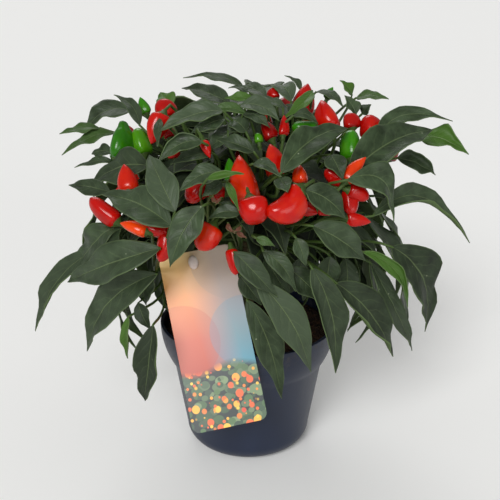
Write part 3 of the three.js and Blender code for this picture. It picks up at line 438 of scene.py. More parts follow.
# Leaves read from the front: stalk end, tip, width, lift of both ends out of the canopy's skin, and bow and
# tone, without which a leaf is straight and dark
seenLeaves = [
    # Left edge and lower left
    ((95, 250), (34, 333), 22, (-12, -4), 0.06),
    ((112, 226), (76, 269), 30, (2, 6)),
    ((160, 248), (66, 282), 36, (14, 16), -0.03),
    ((157, 274), (85, 352), 36, (0, 2), 0.08),
    ((128, 317), (127, 359), 10, (-10, -8), 0, "young"),
    ((153, 325), (144, 402), 28, (-10, -8), -0.05),
    ((138, 303), (150, 330), 15, (-20, -18)),
    # Upper left
    ((100, 128), (59.5, 133.4), 10, (-6, 0), 0, "olive"),
    ((114.6, 133), (61.6, 154.5), 11, (0, 4), 0.06, "olive"),
    ((131, 110), (83, 131), 22, (-10, -8), 0.2),
    ((139.5, 125), (114.6, 93.6), 13, (0, 4), 0.1),
    ((115, 160), (74, 167), 8, (-12, -10)),
    ((112, 152), (91, 154), 14, (-12, -8)),
    ((148, 166), (87, 186), 34, (-12, -8), 0.08),
    ((110, 192), (68, 184.5), 18, (4, 6)),
    ((171, 226), (101, 193), 36, (10, 14), 0.05),
    ((175, 212), (148, 154), 30, (18, 20), 0, "grey"),
    ((203, 206), (169, 267), 30, (20, 22), 0.05),
    ((171, 106), (160, 92), 20, (-12, -10), 0, "young"),
    ((160, 120), (157, 146), 9, (12, 12)),
    # Crown, left half
    ((223, 111), (159, 131), 22, (12, 16), 0.05, "grey"),
    ((230, 105), (182, 87), 19, (0, -2)),
    ((243, 86), (183, 76.6), 9, (-14, -14), 0.05),
    ((266, 98), (228, 87), 14, (4, 2), 0.1),
    ((254, 99), (224, 98), 9, (10, 10), 0, "young"),
    ((240, 105), (279.5, 121), 20, (10, 10), -0.12, "grey"),
    ((225, 118), (190, 134), 15, (2, 0)),
    ((254, 152), (216, 139), 16, (8, 6)),
    ((202, 142), (158, 162), 18, (12, 16), 0.14),
    ((211, 152), (170, 163), 12, (-4, -2)),
    ((223, 172), (178, 193), 20, (16, 20), 0.1),
    ((207, 179), (244, 173), 7, (26, 30), 0, "young"),
    ((227, 182), (239, 210), 8, (14, 24), 0, "young"),
    ((222, 182), (202, 197), 14, (2, 2)),
    ((240, 128), (205, 150), 22, (-18, -16)),
    ((245, 140), (262, 166), 20, (-18, -12)),
    # Crown, right half
    ((291, 101), (262.4, 85.8), 19, (-6, -4), 0.18, "grey"),
    ((301, 90), (284.5, 75), 6, (-12, -12), 0.12),
    ((312, 91), (281.5, 120), 13, (18, 20), -0.08, "young"),
    ((293, 116), (318.5, 124), 10, (12, 12), -0.16),
    ((316, 92), (344, 108), 10, (2, 2), -0.08),
    ((352, 95), (340, 80), 10, (-10, -8), 0, "young"),
    ((356, 114), (345, 95), 13, (-6, -4)),
    ((356, 98), (389, 98.6), 11, (-10, -6), 0, "olive"),
    ((362, 114), (371, 104), 11, (-8, -8)),
    ((281, 173), (349, 127), 30, (20, 14), -0.06),
    ((330, 155), (343, 180), 22, (8, 12)),
    ((349, 176), (432, 127.6), 38, (14, 8), -0.05),
    ((375, 140), (453, 120), 19, (-6, 0), -0.2),
    ((419, 138), (469, 154), 19, (0, 0), -0.08, "young"),
    ((398, 158), (436, 174), 20, (-8, -6)),
    ((347, 180), (395, 221), 30, (16, 16), -0.3),
    ((374, 196), (401, 196), 8, (-4, 0)),
    ((373, 216), (471, 240), 25, (0, 4), -0.22),
    ((305, 190), (346.5, 218), 28, (14, 14), -0.06),
    ((313, 226), (366, 261), 32, (8, 8)),
    ((280, 178), (288, 197), 18, (13, 19)),
    ((253, 164), (281, 177), 13, (10, 16), -0.1),
    # Lower middle and lower right
    ((234, 252), (277, 298), 24, (8, 8)),
    ((256, 280), (310, 374), 33, (2, 0), -0.06, "grey"),
    ((247, 300), (281, 400), 28, (-22, -20), -0.05),
    ((289, 268), (324, 303), 24, (-16, -14)),
    ((312, 268), (335, 375), 32, (-4, -4), -0.06),
    ((336, 283), (394, 358), 38, (6, 2), -0.05),
    ((371, 263), (415, 350), 20, (-8, -6), 0.06),
    ((392, 247), (427, 332), 42, (2, 0), -0.1),
    ((363, 252), (409, 308), 13, (16, 16), -0.1, "young"),
    ((296, 238), (306, 266), 16, (0, 0)),
    ((256, 238), (275, 246), 9, (8, 10), 0, "olive"),
    ((263, 251), (296, 292), 19, (-6, -4), -0.08),
    ((240, 276), (262, 305), 20, (-30, -26)),
]
# Two low leaves that grow on the second stem, though another one is nearer
heldBySecond = [(128, 317), (138, 303)]

# Peppers read from the front, by node: stalk end, tip, width, form, lift, and hue from deep to light
seenPeppers = {
    "green_peppers_left": [
        ((120, 160), (123, 121), 26, "lobed", 0, 0.3),
        ((144, 155), (137, 128), 20, "blunt", 0, 0.65),
    ],
    "green_pepper_tip": [((147, 114), (140, 97), 12, "cone", -4, 0.5)],
    "red_pepper_upper_left": [((169, 119), (159, 100), 22, "blunt", -8, 0.4)],
    "red_pepper_upper_left_hanging": [((163, 115), (151, 144), 23, "cone", 6, 0.45)],
    "red_pepper_left_upright": [((130, 192), (124, 164), 22, "cone", 2, 0.5)],
    "red_pepper_left_edge": [((118, 222), (90, 198), 19, "blunt", 2, 0.4)],
    "red_peppers_left_low": [
        ((147, 232), (120, 223), 15, "cone", 2, 0.9),
        ((146, 225), (170, 232), 17, "blunt", 0, 0.4),
        ((168, 233), (160, 262), 18, "blunt", 0, 0.35),
    ],
    "red_pepper_middle_left": [((213, 226), (199, 250), 26, "blunt", 2, 0.55)],
    "red_peppers_middle": [
        ((205, 186), (187, 201), 21, "blunt", -2, 0.35),
        ((225, 194), (204, 191), 14, "blunt", -2, 0.3),
    ],
    "red_pepper_big_upright": [((249, 205), (239, 155), 31, "cone", 2, 0.6)],
    "green_pepper_middle": [((234, 184), (229, 158), 15, "cone", -16, 0.4)],
    "red_peppers_centre": [
        ((250, 199), (257, 224), 30, "round", 12, 0.45),
        ((300, 190), (268, 216), 30, "crooked", 4, 0.5),
    ],
    "red_pepper_low_middle": [((231, 249), (236, 275), 13, "blunt", -4, 0.45)],
    "red_pepper_crown_middle": [((276, 176), (270, 144), 22, "cone", 4, 0.5)],
    "red_pepper_crown_small": [((301, 184), (299, 164), 16, "cone", 4, 0.7)],
    "red_peppers_middle_right": [
        ((298, 207), (319, 213), 16, "cone", 0, 0.35),
        ((318, 209), (335, 212), 13, "blunt", 0, 0.35),
    ],
    "red_peppers_right_crossed": [
        ((344, 184), (325, 170), 17, "blunt", 2, 0.4),
        ((345, 182), (366, 157), 15, "cone", 4, 0.75),
    ],
    "red_peppers_right": [
        ((350, 188), (351, 216), 17, "blunt", 0, 0.35),
        ((348, 190), (369, 198), 17, "blunt", 0, 0.35),
        ((346, 219), (371, 222), 14, "cone", 0, 0.4),
    ],
    "red_peppers_crown_right": [
        ((370, 137), (369, 115), 23, "blunt", -2, 0.4),
        ((352, 129), (349, 113), 18, "blunt", -2, 0.35),
    ],
    "red_pepper_top_right": [((332, 130), (321, 100), 24, "cone", 6, 0.45)],
    "red_pepper_top": [((299, 115), (308, 83.5), 24, "cone", -2, 0.4)],
    "red_pepper_top_small": [((275, 99), (272, 88), 13, "blunt", -6, 0.3)],
    "red_pepper_crown_slim": [((283, 136), (284, 115), 11, "cone", 0, 0.35)],
    # This shaded pepper gets the lowest hue, a deeper red that is painted shade
    "red_pepper_crown_shaded": [((272, 140), (262, 120), 16, "cone", -8, 0.2)],
    "green_pepper_crown": [((316, 128), (292, 127), 17, "blunt", -2, 0.4)],
    "green_pepper_right": [((352, 160), (351, 130), 21, "round", 2, 0.5)],
    "green_pepper_top_right": [((327, 99), (333, 87), 9, "cone", -8, 0.45)],
    "red_pepper_slim_left": [((203, 141), (210, 158), 10, "cone", 2, 0.4)],
    # This shaded pepper gets the lowest hue, a deeper red that is painted shade
    "red_pepper_shaded_left": [((178, 150), (168, 158), 12, "cone", -8, 0.2)],
}

# Darker leaves deep behind the front ones, over the far side of the pot
deepLeaves = [
    ((266, 256), (290, 297), 22, (-44, -40), 0.05),
    ((302, 258), (287, 296), 20, (-52, -52), -0.05),
    ((318, 262), (303, 301), 22, (-62, -62), 0.06),
    ((330, 256), (322, 298), 24, (-44, -44)),
    ((345, 258), (340, 302), 22, (-50, -50), -0.05),
    ((150, 272), (146, 306), 20, (-34, -34), 0.05),
    ((246, 114), (208, 112), 10, (4, 8), 0.1, "olive"),
    ((243, 114), (270, 128), 12, (5, 5), -0.1),
    ((246, 132), (222, 118), 20, (-4, -6), 0.1),
    ((228, 131), (252, 119), 18, (-8, -12), 0.1),
    ((283, 108), (262, 97), 10, (1, 1)),
    ((300, 112), (286, 104), 12, (-8, -8)),
    ((240, 213), (208, 219), 15, (2, 2), 0.1),
    ((246, 205), (218, 203), 13, (-4, -4), -0.1),
    # Dried, crumpled bits of blossom
    ((228, 223), (235, 233), 5, (8, 10), 0.2, "dry"),
    ((241, 226), (233, 231), 4, (9, 11), -0.2, "dry"),
    ((237, 231), (247, 238), 5, (8, 10), 0.1, "dry"),
    ((213, 196), (219, 203), 4, (8, 10), 0.2, "dry"),
    ((221, 198), (215, 205), 3, (9, 10), 0, "dry"),
]

# Small ones inside the crown, which stand for no solid
smallPeppers = {
    "small_red_peppers": [
        ((222, 101), (219, 92), 9, "blunt", -6, 0.35),
        ((170, 138), (167, 128), 12, "blunt", -6, 0.25),
        ((268, 125), (264, 114), 12, "blunt", -5, 0.3),
        ((241, 163), (236, 150), 12, "cone", -9, 0.3),
    ],
    "green_pepper_small": [((259, 143), (257, 133), 9, "blunt", -6, 0.6)],
}

canopy = {"middle": 165, "across": 125, "depth": 115, "topRise": 105, "skirtDrop": 230, "backSkirt": 130}
stemHubs = [
    (-160, 0), (-118, 16), (-66, 14), (-20, 0), (22, 0), (68, 2), (112, 2), (158, 0),
    (-135, 48), (-80, 52), (-28, 46), (40, 50), (132, 50),
]  # azimuth and elevation of each leafy stem's middle
trunk = {
    "foot": (1, 0, 58), "knee": (-1.5, 1, 118), "top": (0, 0, 176), "radii": (5.4, 3.4), "points": 24,
    "forkReach": 17, "forkDrop": 24, "lowestFork": 140, "highestFork": 172, "forkRadii": (2.875, 2.5),
    "kneeBend": 0.6, "hubReach": 0.5, "stalksFrom": 0.5, "roundness": 5, "lump": 0.5, "lumpRate": 0.35,
    "lumpLength": 0.3,
}
pose = {
    "outward": 0.55, "towardsSight": 0.6, "upward": 0.35, "leastAcross": 0.65, "heartDrop": 20,
    "seenArch": (0.05, 0.07), "backArch": (0.08, 0.06), "fold": (0.12, 0.2), "seenTwist": 0.5,
    "backTwist": 0.4, "twistFrom": 0.3, "humpPower": 0.85, "leafSlope": 0.9, "pepperSlope": 0.3,
    "shade": 0.5, "lowShade": 0.3, "lowBy": 70, "seenGreySheen": 0.35, "backGreySheen": 0.5, "stalkEndBack": 4,
}
ripples = {"height": 0.16, "rate": 9.5, "shift": 1.3}
turnWhole = 6.28
heart = Vector((0, 0, canopy["middle"] - pose["heartDrop"]))
eyePlace = Vector((0, -viewpoint["distance"], viewpoint["height"]))


# The line of sight through a place, and how far along it the canopy's skin stands
def sightLine(place):
    u, v = ((place[i] - viewpoint["middle"][i]) / viewpoint["focal"] for i in range(2))
    cosine, sine = math.cos(viewpoint["pitch"]), math.sin(viewpoint["pitch"])
    ray = Vector((u, cosine - v * sine, -sine - v * cosine)).normalized()

    def reach(rise):
        scale = Vector((1 / canopy["across"], 1 / canopy["depth"], 1 / rise))
        o = (eyePlace - Vector((0, 0, canopy["middle"]))) * scale
        d = ray * scale
        a, b, c = d.dot(d), o.dot(d), o.dot(o) - 1
        return (-b - math.sqrt(max(0, b * b - a * c))) / a

    low = reach(canopy["skirtDrop"])
    skin = low if eyePlace.z + ray.z * low < canopy["middle"] else reach(canopy["topRise"])
    return ray, skin


# Two ends read from the front, put on the skin and lifted out of it. Their slope along the sight is bounded.
def seenEnds(start, end, lifts, steepness, shared=None):
    (rayA, skinA), (rayB, skinB) = sightLine(start), sightLine(end)
    seen = math.hypot(start[0] - end[0], start[1] - end[1])
    apart = seen * 0.5 * (skinA + skinB) / viewpoint["focal"]
    near, far = skinA - lifts[0], skinB - lifts[1]
    slope = clamp(far - near, -steepness * apart, steepness * apart)
    middle = 0.5 * (near + far) if shared is None else shared
    return eyePlace + rayA * (middle - slope / 2), eyePlace + rayB * (middle + slope / 2), middle


def readingScale(point):
    ahead = (point.y + viewpoint["distance"]) * math.cos(viewpoint["pitch"])
    return (ahead + (viewpoint["height"] - point.z) * math.sin(viewpoint["pitch"])) / viewpoint["focal"]


def skinPoint(azimuth, elevation, reach=1.0):
    a, e = math.radians(azimuth), math.radians(elevation)
    rise = canopy["topRise"] if e > 0 else canopy["backSkirt"]
    flat = math.cos(e) * reach
    x, y = canopy["across"] * flat * math.cos(a), canopy["depth"] * flat * math.sin(a)
    return Vector((x, y, canopy["middle"] + rise * math.sin(e) * reach))


bladeMesh = {
    "across": 12, "along": 22, "thickness": 0.55, "curl": 0.055, "curls": 19, "edge": 0.034, "edges": 13,
    "shortest": 2.6, "tipFrom": 0.42, "drawnTip": 0.42, "hook": 0.02, "droop": (0.4, 0.5), "rollFrom": 0.4,
    "pucker": 1.1, "puckerSize": 9, "fade": 0.5, "hookPower": 3, "furthest": 16, "spreadOut": 6,
}


# The frame of a leaf: its chord, the way its face looks, and its size
def leafPlan(base, tip, face, **shape):
    along = (tip - base).normalized()
    up = (face - along * face.dot(along)).normalized()
    return {
        "base": base, "length": (tip - base).length, "along": along, "up": up, "side": up.cross(along),
        "grey": 0.0, "young": 0.0, "shade": 0.0, "dry": 0.0, "hook": bladeMesh["hook"], "roll": 0,
        "drawn": bladeMesh["drawnTip"], **shape,
    }


# The grey tone is partly a painted sheen: a paler grey-green that stands in for a soft shine
tones = {
    "dark": {}, "grey": {"grey": 0.6}, "young": {"young": 0.75}, "olive": {"young": 0.4, "grey": 0.3},
    "dry": {"dry": 1.0},
}
# Leaves with a rolled edge, which shows its paler underside: how far it turns, in radians, and on which side
rolledLeaves = {
    (363, 252): 2.6, (419, 138): 1.6, (336, 283): -2.0, (398, 158): 2.2, (349, 176): -1.2, (373, 216): -2.3,
    (153, 325): 1.6, (128, 317): 2.2, (202, 142): -1.8, (207, 179): 1.6, (95, 250): 1.2, (312, 268): -1.4,
    (262.4, 85.8): 1.4, (223, 111): 1.0,
}
# Leaves that stay full towards their tip: how far it is drawn in
fullLeaves = {
    (349, 176): -0.3, (112, 226): 0, (281, 173): 0.2, (223, 111): 0.1, (153, 325): 0.2, (392, 247): 0.2,
    (157, 274): 0.25, (203, 206): 0.2, (175, 212): 0.15, (305, 190): 0.1,
}


def seenLeaf(i, start, end, wide, lifts, bow=0, tone="dark"):
    base, tip, _ = seenEnds(start, end, lifts, pose["leafSlope"])
    middle = base.lerp(tip, 0.5)
    sight = (eyePlace - middle).normalized()
    face = (middle - heart).normalized() * pose["outward"] + sight * pose["towardsSight"]
    face.z += pose["upward"]
    # Leaves lower down get painted shade, on top of a random darkening of each leaf
    low = clamp((canopy["middle"] - middle.z) / pose["lowBy"], 0, 1)
    shade = pose["shade"] * scatter(i + 31) + pose["lowShade"] * low
    # The random grey tint is partly a painted sheen
    shown = {"shade": shade, "grey": pose["seenGreySheen"] * scatter(i + 37), **tones[tone]}
    plan = leafPlan(
        base, tip, face, bow=-bow, arch=spread(pose["seenArch"], i + 50), fold=spread(pose["fold"], i + 90),
        phase=turnWhole * scatter(i + 130), twist=pose["seenTwist"] * (scatter(i) - 0.5),
        roll=rolledLeaves.get(start, 0), drawn=fullLeaves.get(start, bladeMesh["drawnTip"]), **shown,
    )
    seenAcross = (plan["side"] - sight * plan["side"].dot(sight)).length
    plan["width"] = wide * readingScale(middle) / max(seenAcross, pose["leastAcross"])
    if start in heldBySecond:
        plan["stem"] = 1
    return plan


# Each tier: elevation, number of leaves, and the azimuths it runs between
backTiers = [(56, 4, 35, 145), (40, 6, 12, 168), (20, 9, -8, 188), (0, 11, -22, 202), (-18, 11, -26, 206)]
backLeaf = {
    "length": 78, "width": 35, "sizes": (0.8, 0.38), "turn": 12, "swing": 34, "footRise": 15,
    "footReach": 0.86, "tipDrop": (12, 20), "tipReach": 1.1, "stepOut": 0.07, "sideDraw": 0.22, "bow": 0.2,
    "hook": 0.09,
}


# A leaf that hangs out of the canopy: n picks its draws, and shade darkens its colour with painted shade
def hangingLeaf(n, azimuth, elevation, feet, tips, length, width, shade=0.0):
    # The plant is slimmer at its sides
    draw = 1 - backLeaf["sideDraw"] * math.cos(math.radians(azimuth)) ** 2
    base = skinPoint(azimuth, elevation + backLeaf["footRise"], draw * feet)
    tipAzimuth = azimuth + backLeaf["swing"] * (scatter(n + 7) - 0.5)
    towards = skinPoint(tipAzimuth, elevation - spread(backLeaf["tipDrop"], n + 21), draw * tips)
    tip = base + (towards - base).normalized() * length * spread(backLeaf["sizes"], n + 3)
    if shade and math.hypot(tip.x, tip.y) < fillLeaf["clearRadius"]:
        tip.z = max(tip.z, fillLeaf["clearHeight"])
    face = (base.lerp(tip, 0.5) - heart).normalized()
    face.z += pose["upward"]
    # The random grey tint is partly a painted sheen
    return leafPlan(
        base, tip, face, width=width * spread(backLeaf["sizes"], n + 5), hook=backLeaf["hook"], shade=shade,
        bow=backLeaf["bow"] * (scatter(n + 9) - 0.5), arch=spread(pose["backArch"], n + 11),
        fold=spread(pose["fold"], n + 13), phase=turnWhole * scatter(n + 15),
        twist=pose["backTwist"] * (scatter(n + 17) - 0.5), grey=pose["backGreySheen"] * scatter(n + 19),
    )


def backLeaves():
    plans = []
    for tier, (elevation, count, start, end) in enumerate(backTiers):
        for i in range(count):
            n = 200 + tier * 20 + i
            azimuth = mix(start, end, (i + 0.5) / count) + backLeaf["turn"] * (scatter(n) - 0.5)
            step = (i % 2) * backLeaf["stepOut"]
            reach = backLeaf["footReach"] + step, backLeaf["tipReach"] + step
            plans.append(hangingLeaf(n, azimuth, elevation, *reach, backLeaf["length"], backLeaf["width"]))
    return plans


# The leaves inside the canopy get painted shade, the most in its core
fillLeaf = {
    "count": 120, "turn": 137.5, "lowest": -26, "highest": 86, "feet": (0.5, 0.22), "reachOut": 0.24,
    "length": 60, "width": 30, "shade": 0.75, "openFrom": -155, "openTo": -25, "openBelow": 24,
    "clearRadius": 74, "clearHeight": 106, "coreCount": 34, "coreFeet": (0.28, 0.2), "coreLowest": -24,
    "coreHighest": 12, "coreFront": 20, "coreReachOut": 0.14, "coreLength": 48, "coreShade": 0.95,
}


# Leaves inside the canopy, darkened with painted shade, spread evenly round it, but not in front of the soil
# that shows below
def fillLeaves():
    look = fillLeaf
    plans = []
    low, high = (math.sin(math.radians(look[end])) for end in ("lowest", "highest"))
    for i in range(look["count"] + look["coreCount"]):
        inCore = i >= look["count"]
        i -= look["count"] if inCore else 0
        azimuth = (i * look["turn"] + 180) % 360 - 180
        inFront = look["openFrom"] < azimuth < look["openTo"]
        if inCore:
            elevation = mix(look["coreLowest"], look["coreHighest"], scatter(i + 60))
            elevation = look["coreFront"] if inFront else elevation
            feet = spread(look["coreFeet"], 800 + i)
            size = feet + look["coreReachOut"], look["coreLength"], look["width"], look["coreShade"]
            plans.append(hangingLeaf(820 + i, azimuth, elevation, feet, *size))
            continue
        elevation = math.degrees(math.asin(mix(low, high, (i + 0.5) / look["count"])))
        if inFront and elevation < look["openBelow"]:
            continue
        feet = spread(look["feet"], 500 + i)
        size = feet + look["reachOut"], look["length"], look["width"], look["shade"]
        plans.append(hangingLeaf(520 + i, azimuth, elevation, feet, *size))
    return plans


# Half width along a leaf, as a share of its widest: a rounded foot and a long drawn tip
footPower, tipPower = 0.72, 1.12


def taper(t):
    return t ** footPower * (1 - t) ** tipPower


def leafOutline(t):
    return taper(t) / taper(footPower / (footPower + tipPower))


def leafPoint(plan, t, share):
    hump = math.sin(math.pi * t ** pose["humpPower"])
    half = 0.5 * plan["width"] * leafOutline(t)
    shift = ripples["shift"] if share > 0 else 0
    wave = ripples["height"] * math.sin(ripples["rate"] * t + plan["phase"] + shift)
    turned = share * math.sin(plan["twist"] * (t - pose["twistFrom"]))
    lift = half * (abs(share) * (plan["fold"] + wave) + turned)
    rise = plan["arch"] * plan["length"] * hump + lift
    aside = plan["bow"] * plan["length"] * hump + share * half
    return plan["base"] + plan["along"] * (plan["length"] * t) + plan["up"] * rise + plan["side"] * aside


bunchDistance = {}  # peppers of one bunch stand at one distance


def seenPepper(bunch, start, end, wide, form, lift, hue):
    lifts = lift - pose["stalkEndBack"], lift
    base, tip, middle = seenEnds(start, end, lifts, pose["pepperSlope"], bunchDistance.get(bunch))
    bunchDistance[bunch] = middle
    radius = 0.5 * wide * readingScale(base)
    return {"bunch": bunch, "base": base, "tip": tip, "radius": radius, "form": form, "hue": hue}


backBunches = [(28, 24), (72, 32), (114, 27), (140, 24), (50, 4), (95, 8), (136, 2)]
backPepper = {
    "length": 25, "width": 15, "apart": 14, "reach": 0.99, "sizes": (0.8, 0.4), "widths": (0.9, 0.25),
    "upward": (1.7, 0.45), "splay": 0.5, "sway": 0.5, "hues": (0.2, 0.4),
}


def backPeppers():
    peppers = []
    for i, (azimuth, elevation) in enumerate(backBunches):
        for j in range(2):
            leaning = (i + j) % 2
            base = skinPoint(azimuth, elevation, backPepper["reach"])
            sideways = Vector((-base.y, base.x, 0)).normalized()
            base = base + sideways * ((j - 0.5) * backPepper["apart"])
            aim = (base - Vector((0, 0, canopy["middle"]))).normalized()
            aim.z += backPepper["upward"][leaning]
            aim += sideways * ((0.5 - j) * backPepper["splay"] + backPepper["sway"] * (scatter(i) - 0.5))
            length = backPepper["length"] * spread(backPepper["sizes"], 300 + 2 * i + j)
            tip = base + aim.normalized() * length
            radius = 0.5 * backPepper["width"] * spread(backPepper["widths"], 330 + 2 * i + j)
            peppers.append({
                "bunch": f"red_peppers_back_{i + 1}", "base": base, "tip": tip, "radius": radius,
                "form": "cone" if leaning else "blunt", "hue": spread(backPepper["hues"], i + 3 * j),
            })
    return peppers


# The card's own plane: x across, y up from its top edge, z out of its face
card = {
    "width": 51, "length": 121, "thickness": 0.9, "corner": 5, "edge": 0.12, "holeRadius": 3.4,
    "holeInset": (23, 8), "top": (-36.5, -33, 162), "foot": (-12.2, -86.5, 60), "stalkRoom": 3,
    "leafGap": 0.8, "leafRoom": 1, "cornerSteps": 8, "holeSteps": 32,
}
cardTop = Vector(card["top"])
cardDown = (Vector(card["foot"]) - cardTop).normalized()
cardAcross = (Vector((1, 0, 0)) - cardDown * cardDown.x).normalized()
cardOut = cardDown.cross(cardAcross).normalized()
cardFrame = Matrix((cardAcross, -cardDown, cardOut)).transposed().to_4x4()
cardFrame.translation = cardTop
holeX, holeY = card["holeInset"][0] - card["width"] / 2, -card["holeInset"][1]


def onCard(x, y, z):
    return cardFrame @ Vector((x, y, z))


def overCard(point):
    offset, room = point - cardTop, card["stalkRoom"]
    beside = abs(offset.dot(cardAcross)) < card["width"] / 2 + room
    return beside and -room < offset.dot(cardDown) < card["length"] + room and offset.dot(cardOut) > -room


leaves = [seenLeaf(i, *row) for i, row in enumerate(seenLeaves)] + backLeaves()
peppers = [seenPepper(bunch, *row) for bunch, rows in seenPeppers.items() for row in rows] + backPeppers()
small = [seenPepper(bunch, *row) for bunch, rows in smallPeppers.items() for row in rows]
fills = [plan for plan in fillLeaves() if not any(overCard(leafPoint(plan, t / 5, 0)) for t in range(1, 6))]
fills += [seenLeaf(200 + i, *row) for i, row in enumerate(deepLeaves)]
# Each pair of peppers at the back hangs half under a leaf
coverLeaf = {"aside": 9, "above": 5, "size": (0.87, 1.15, 46, 27)}  # size: foot, tip, length and width
for i, (azimuth, elevation) in enumerate(backBunches):
    place = azimuth + coverLeaf["aside"] * (1 if i % 2 else -1), elevation + coverLeaf["above"]
    fills.append(hangingLeaf(940 + i, *place, *coverLeaf["size"]))

stems = []
for azimuth, elevation in stemHubs:
    hub = skinPoint(azimuth, elevation, trunk["hubReach"])
    root = Vector((0, 0, clamp(hub.z - trunk["forkDrop"], trunk["lowestFork"], trunk["highestFork"])))
    stems.append({"hub": hub, "root": root, "aim": (hub - root).normalized()})


def nearestStem(point):
    return min(range(len(stems)), key=lambda i: (stems[i]["hub"] - point).length)


# Each stalk leaves the nearest branch, one after another along its outer half
for piece in leaves + peppers + fills + small:
    piece.setdefault("stem", nearestStem(piece["base"]))
for index, stem in enumerate(stems):
    for kind in (leaves + peppers, fills + small):
        group = [piece for piece in kind if piece["stem"] == index]
        for i, piece in enumerate(group):
            piece["root"] = stem["root"].lerp(stem["hub"], mix(trunk["stalksFrom"], 1, (i + 1) / len(group)))
peppers += small


# The room round a pepper: its radius along its length, as shares
pepperRoom = {
    "heights": (-0.1, 0, 0.2, 0.5, 0.82, 1, 1.06), "radii": (0, 0.75, 1, 0.97, 0.68, 0.3, 0), "gap": 0.7,
    "flattest": 0.12, "near": 6,
}


# How far each point has to move along a way to stand clear of a pepper
def pepperNeed(points, pepper, way):
    axis = np.array((pepper["tip"] - pepper["base"]).normalized())
    length = (pepper["tip"] - pepper["base"]).length
    offset = points - np.array(pepper["base"])
    height = offset @ axis
    across = offset - height[..., None] * axis
    room = np.interp(height / length, pepperRoom["heights"], pepperRoom["radii"])
    radius = (pepper["radius"] + pepperRoom["gap"]) * room
    flat = way - (way @ axis) * axis
    a = max(float(flat @ flat), pepperRoom["flattest"])
    b = across @ flat
    c = (across * across).sum(-1) - radius * radius
    root = np.sqrt(np.maximum(b * b - a * c, 0))
    return np.where(c < 0, (root - b) / a, 0)


def cardNeed(points, behind):
    offset = points - np.array(cardTop)
    x, y, z = offset @ np.array(cardAcross), -(offset @ np.array(cardDown)), offset @ np.array(cardOut)
    gap, room = card["leafGap"], card["leafRoom"]
    inside = (np.abs(x) < card["width"] / 2 + room) & (y < room) & (y > -card["length"] - room)
    short = z + gap if behind else card["thickness"] + gap - z
    return np.where(inside, np.maximum(short, 0), 0)


# The need of each point, spread out smoothly over its neighbours
def eased(need):
    field = need.copy()
    for _ in range(bladeMesh["spreadOut"]):
        wide = np.pad(field, 1, mode="edge")
        mean = (wide[:-2, 1:-1] + wide[2:, 1:-1] + wide[1:-1, :-2] + wide[1:-1, 2:] + wide[1:-1, 1:-1]) / 5
        field = np.maximum(mean, need)
    return np.minimum(field, bladeMesh["furthest"])


# A leaf's points, bent clear of the peppers and the card
def bladePoints(plan):
    look = bladeMesh
    steps = [0.5 - 0.5 * math.cos(math.pi * i / look["along"]) for i in range(look["along"] + 1)]
    shares = [2 * j / look["across"] - 1 for j in range(look["across"] + 1)]
    points = np.array([[leafPoint(plan, t, share) for share in shares] for t in steps])
    up, side = np.array(plan["up"]), np.array(plan["side"])
    t, share = np.array(steps)[:, None], np.array(shares)[None, :]
    belly = np.sin(math.pi * t)
    half = np.array([[0.5 * plan["width"] * leafOutline(step)] for step in steps])
    # The edges roll up and down and run in and out
    curl = look["curl"] * share ** 2 * np.sin(look["curls"] * t + plan["phase"] * (2 + share))
    edge = look["edge"] * share * np.sin(look["edges"] * t + plan["phase"] * (3 + np.sign(share)))
    reach = min(plan["width"], plan["length"] / look["shortest"]) * belly
    # The tip is drawn in, droops and hooks aside
    late = np.clip((t - look["tipFrom"]) / (1 - look["tipFrom"]), 0, 1)
    hook = plan["hook"] * plan["length"] * late ** look["hookPower"]
    rise = reach * curl - hook * spread(look["droop"], plan["phase"])
    aside = reach * edge - plan["drawn"] * late * half * share
    aside = aside + hook * mix(-1, 1, scatter(plan["phase"] + 1))
    # A rolled edge turns up and over along an arc
    if plan["roll"]:
        sense = np.sign(plan["roll"])
        rolled = np.clip((sense * share - look["rollFrom"]) / (1 - look["rollFrom"]), 0, 1)
        angle = abs(plan["roll"]) * rolled * belly ** look["fade"] + 1e-6
        strip = half * (1 - look["rollFrom"]) * rolled
        rise = rise + strip * (1 - np.cos(angle)) / angle
        aside = aside + sense * strip * (np.sin(angle) / angle - 1)
    # The face puckers
    pucker = [[noise.noise(Vector(point) / look["puckerSize"]) for point in row] for row in points]
    rise = rise + look["pucker"] * np.array(pucker) * belly ** look["fade"]
    points = points + rise[..., None] * up + aside[..., None] * side
    middle = points[look["along"] // 2, look["across"] // 2]
    for pepper in peppers:
        centre = np.array(pepper["base"].lerp(pepper["tip"], 0.5))
        offset = points[:, look["across"] // 2] - centre
        nearest = offset[np.argmin((offset * offset).sum(-1))]
        if np.linalg.norm(nearest) > plan["width"] + pepper["radius"] + pepperRoom["near"]:
            continue
        way = up if nearest @ up > 0 else -up
        need = pepperNeed(points, pepper, way)
        if need.max() > 0:
            points = points + eased(need)[..., None] * way
    behind = (middle - np.array(cardTop)) @ np.array(cardOut) < 0
    need = cardNeed(points, behind)
    if need.max() > 0:
        points = points + eased(need)[..., None] * np.array(-cardOut if behind else cardOut)
    return steps, shares, points


def addBlade(bm, plan):
    steps, shares, points = bladePoints(plan)
    uv = bm.loops.layers.uv.verify()
    layers = {name: bm.verts.layers.float[name] for name in leafTints}
    made = bmesh.ops.create_grid(bm, x_segments=len(shares) - 1, y_segments=len(steps) - 1, size=1)["verts"]
    reading = {}
    for vert in made:
        j = round((1 - vert.co.x) / 2 * (len(shares) - 1))
        i = round((vert.co.y + 1) / 2 * (len(steps) - 1))
        vert.co = points[i, j]
        reading[vert] = ((shares[j] + 1) / 2, steps[i])
        for name in leafTints[:-1]:
            vert[layers[name]] = plan[name]
    faces = list({face for vert in made for face in vert.link_faces})
    for face in faces:
        for loop in face.loops:
            loop[uv].uv = reading[loop.vert]
    for part in faces + made:
        part.normal_update()
    for part in bmesh.ops.solidify(bm, geom=faces, thickness=bladeMesh["thickness"])["geom"]:
        if isinstance(part, bmesh.types.BMVert):
            part[layers["under"]] = 1.0
    return [points[i, len(shares) // 2] for i in range(len(steps))]


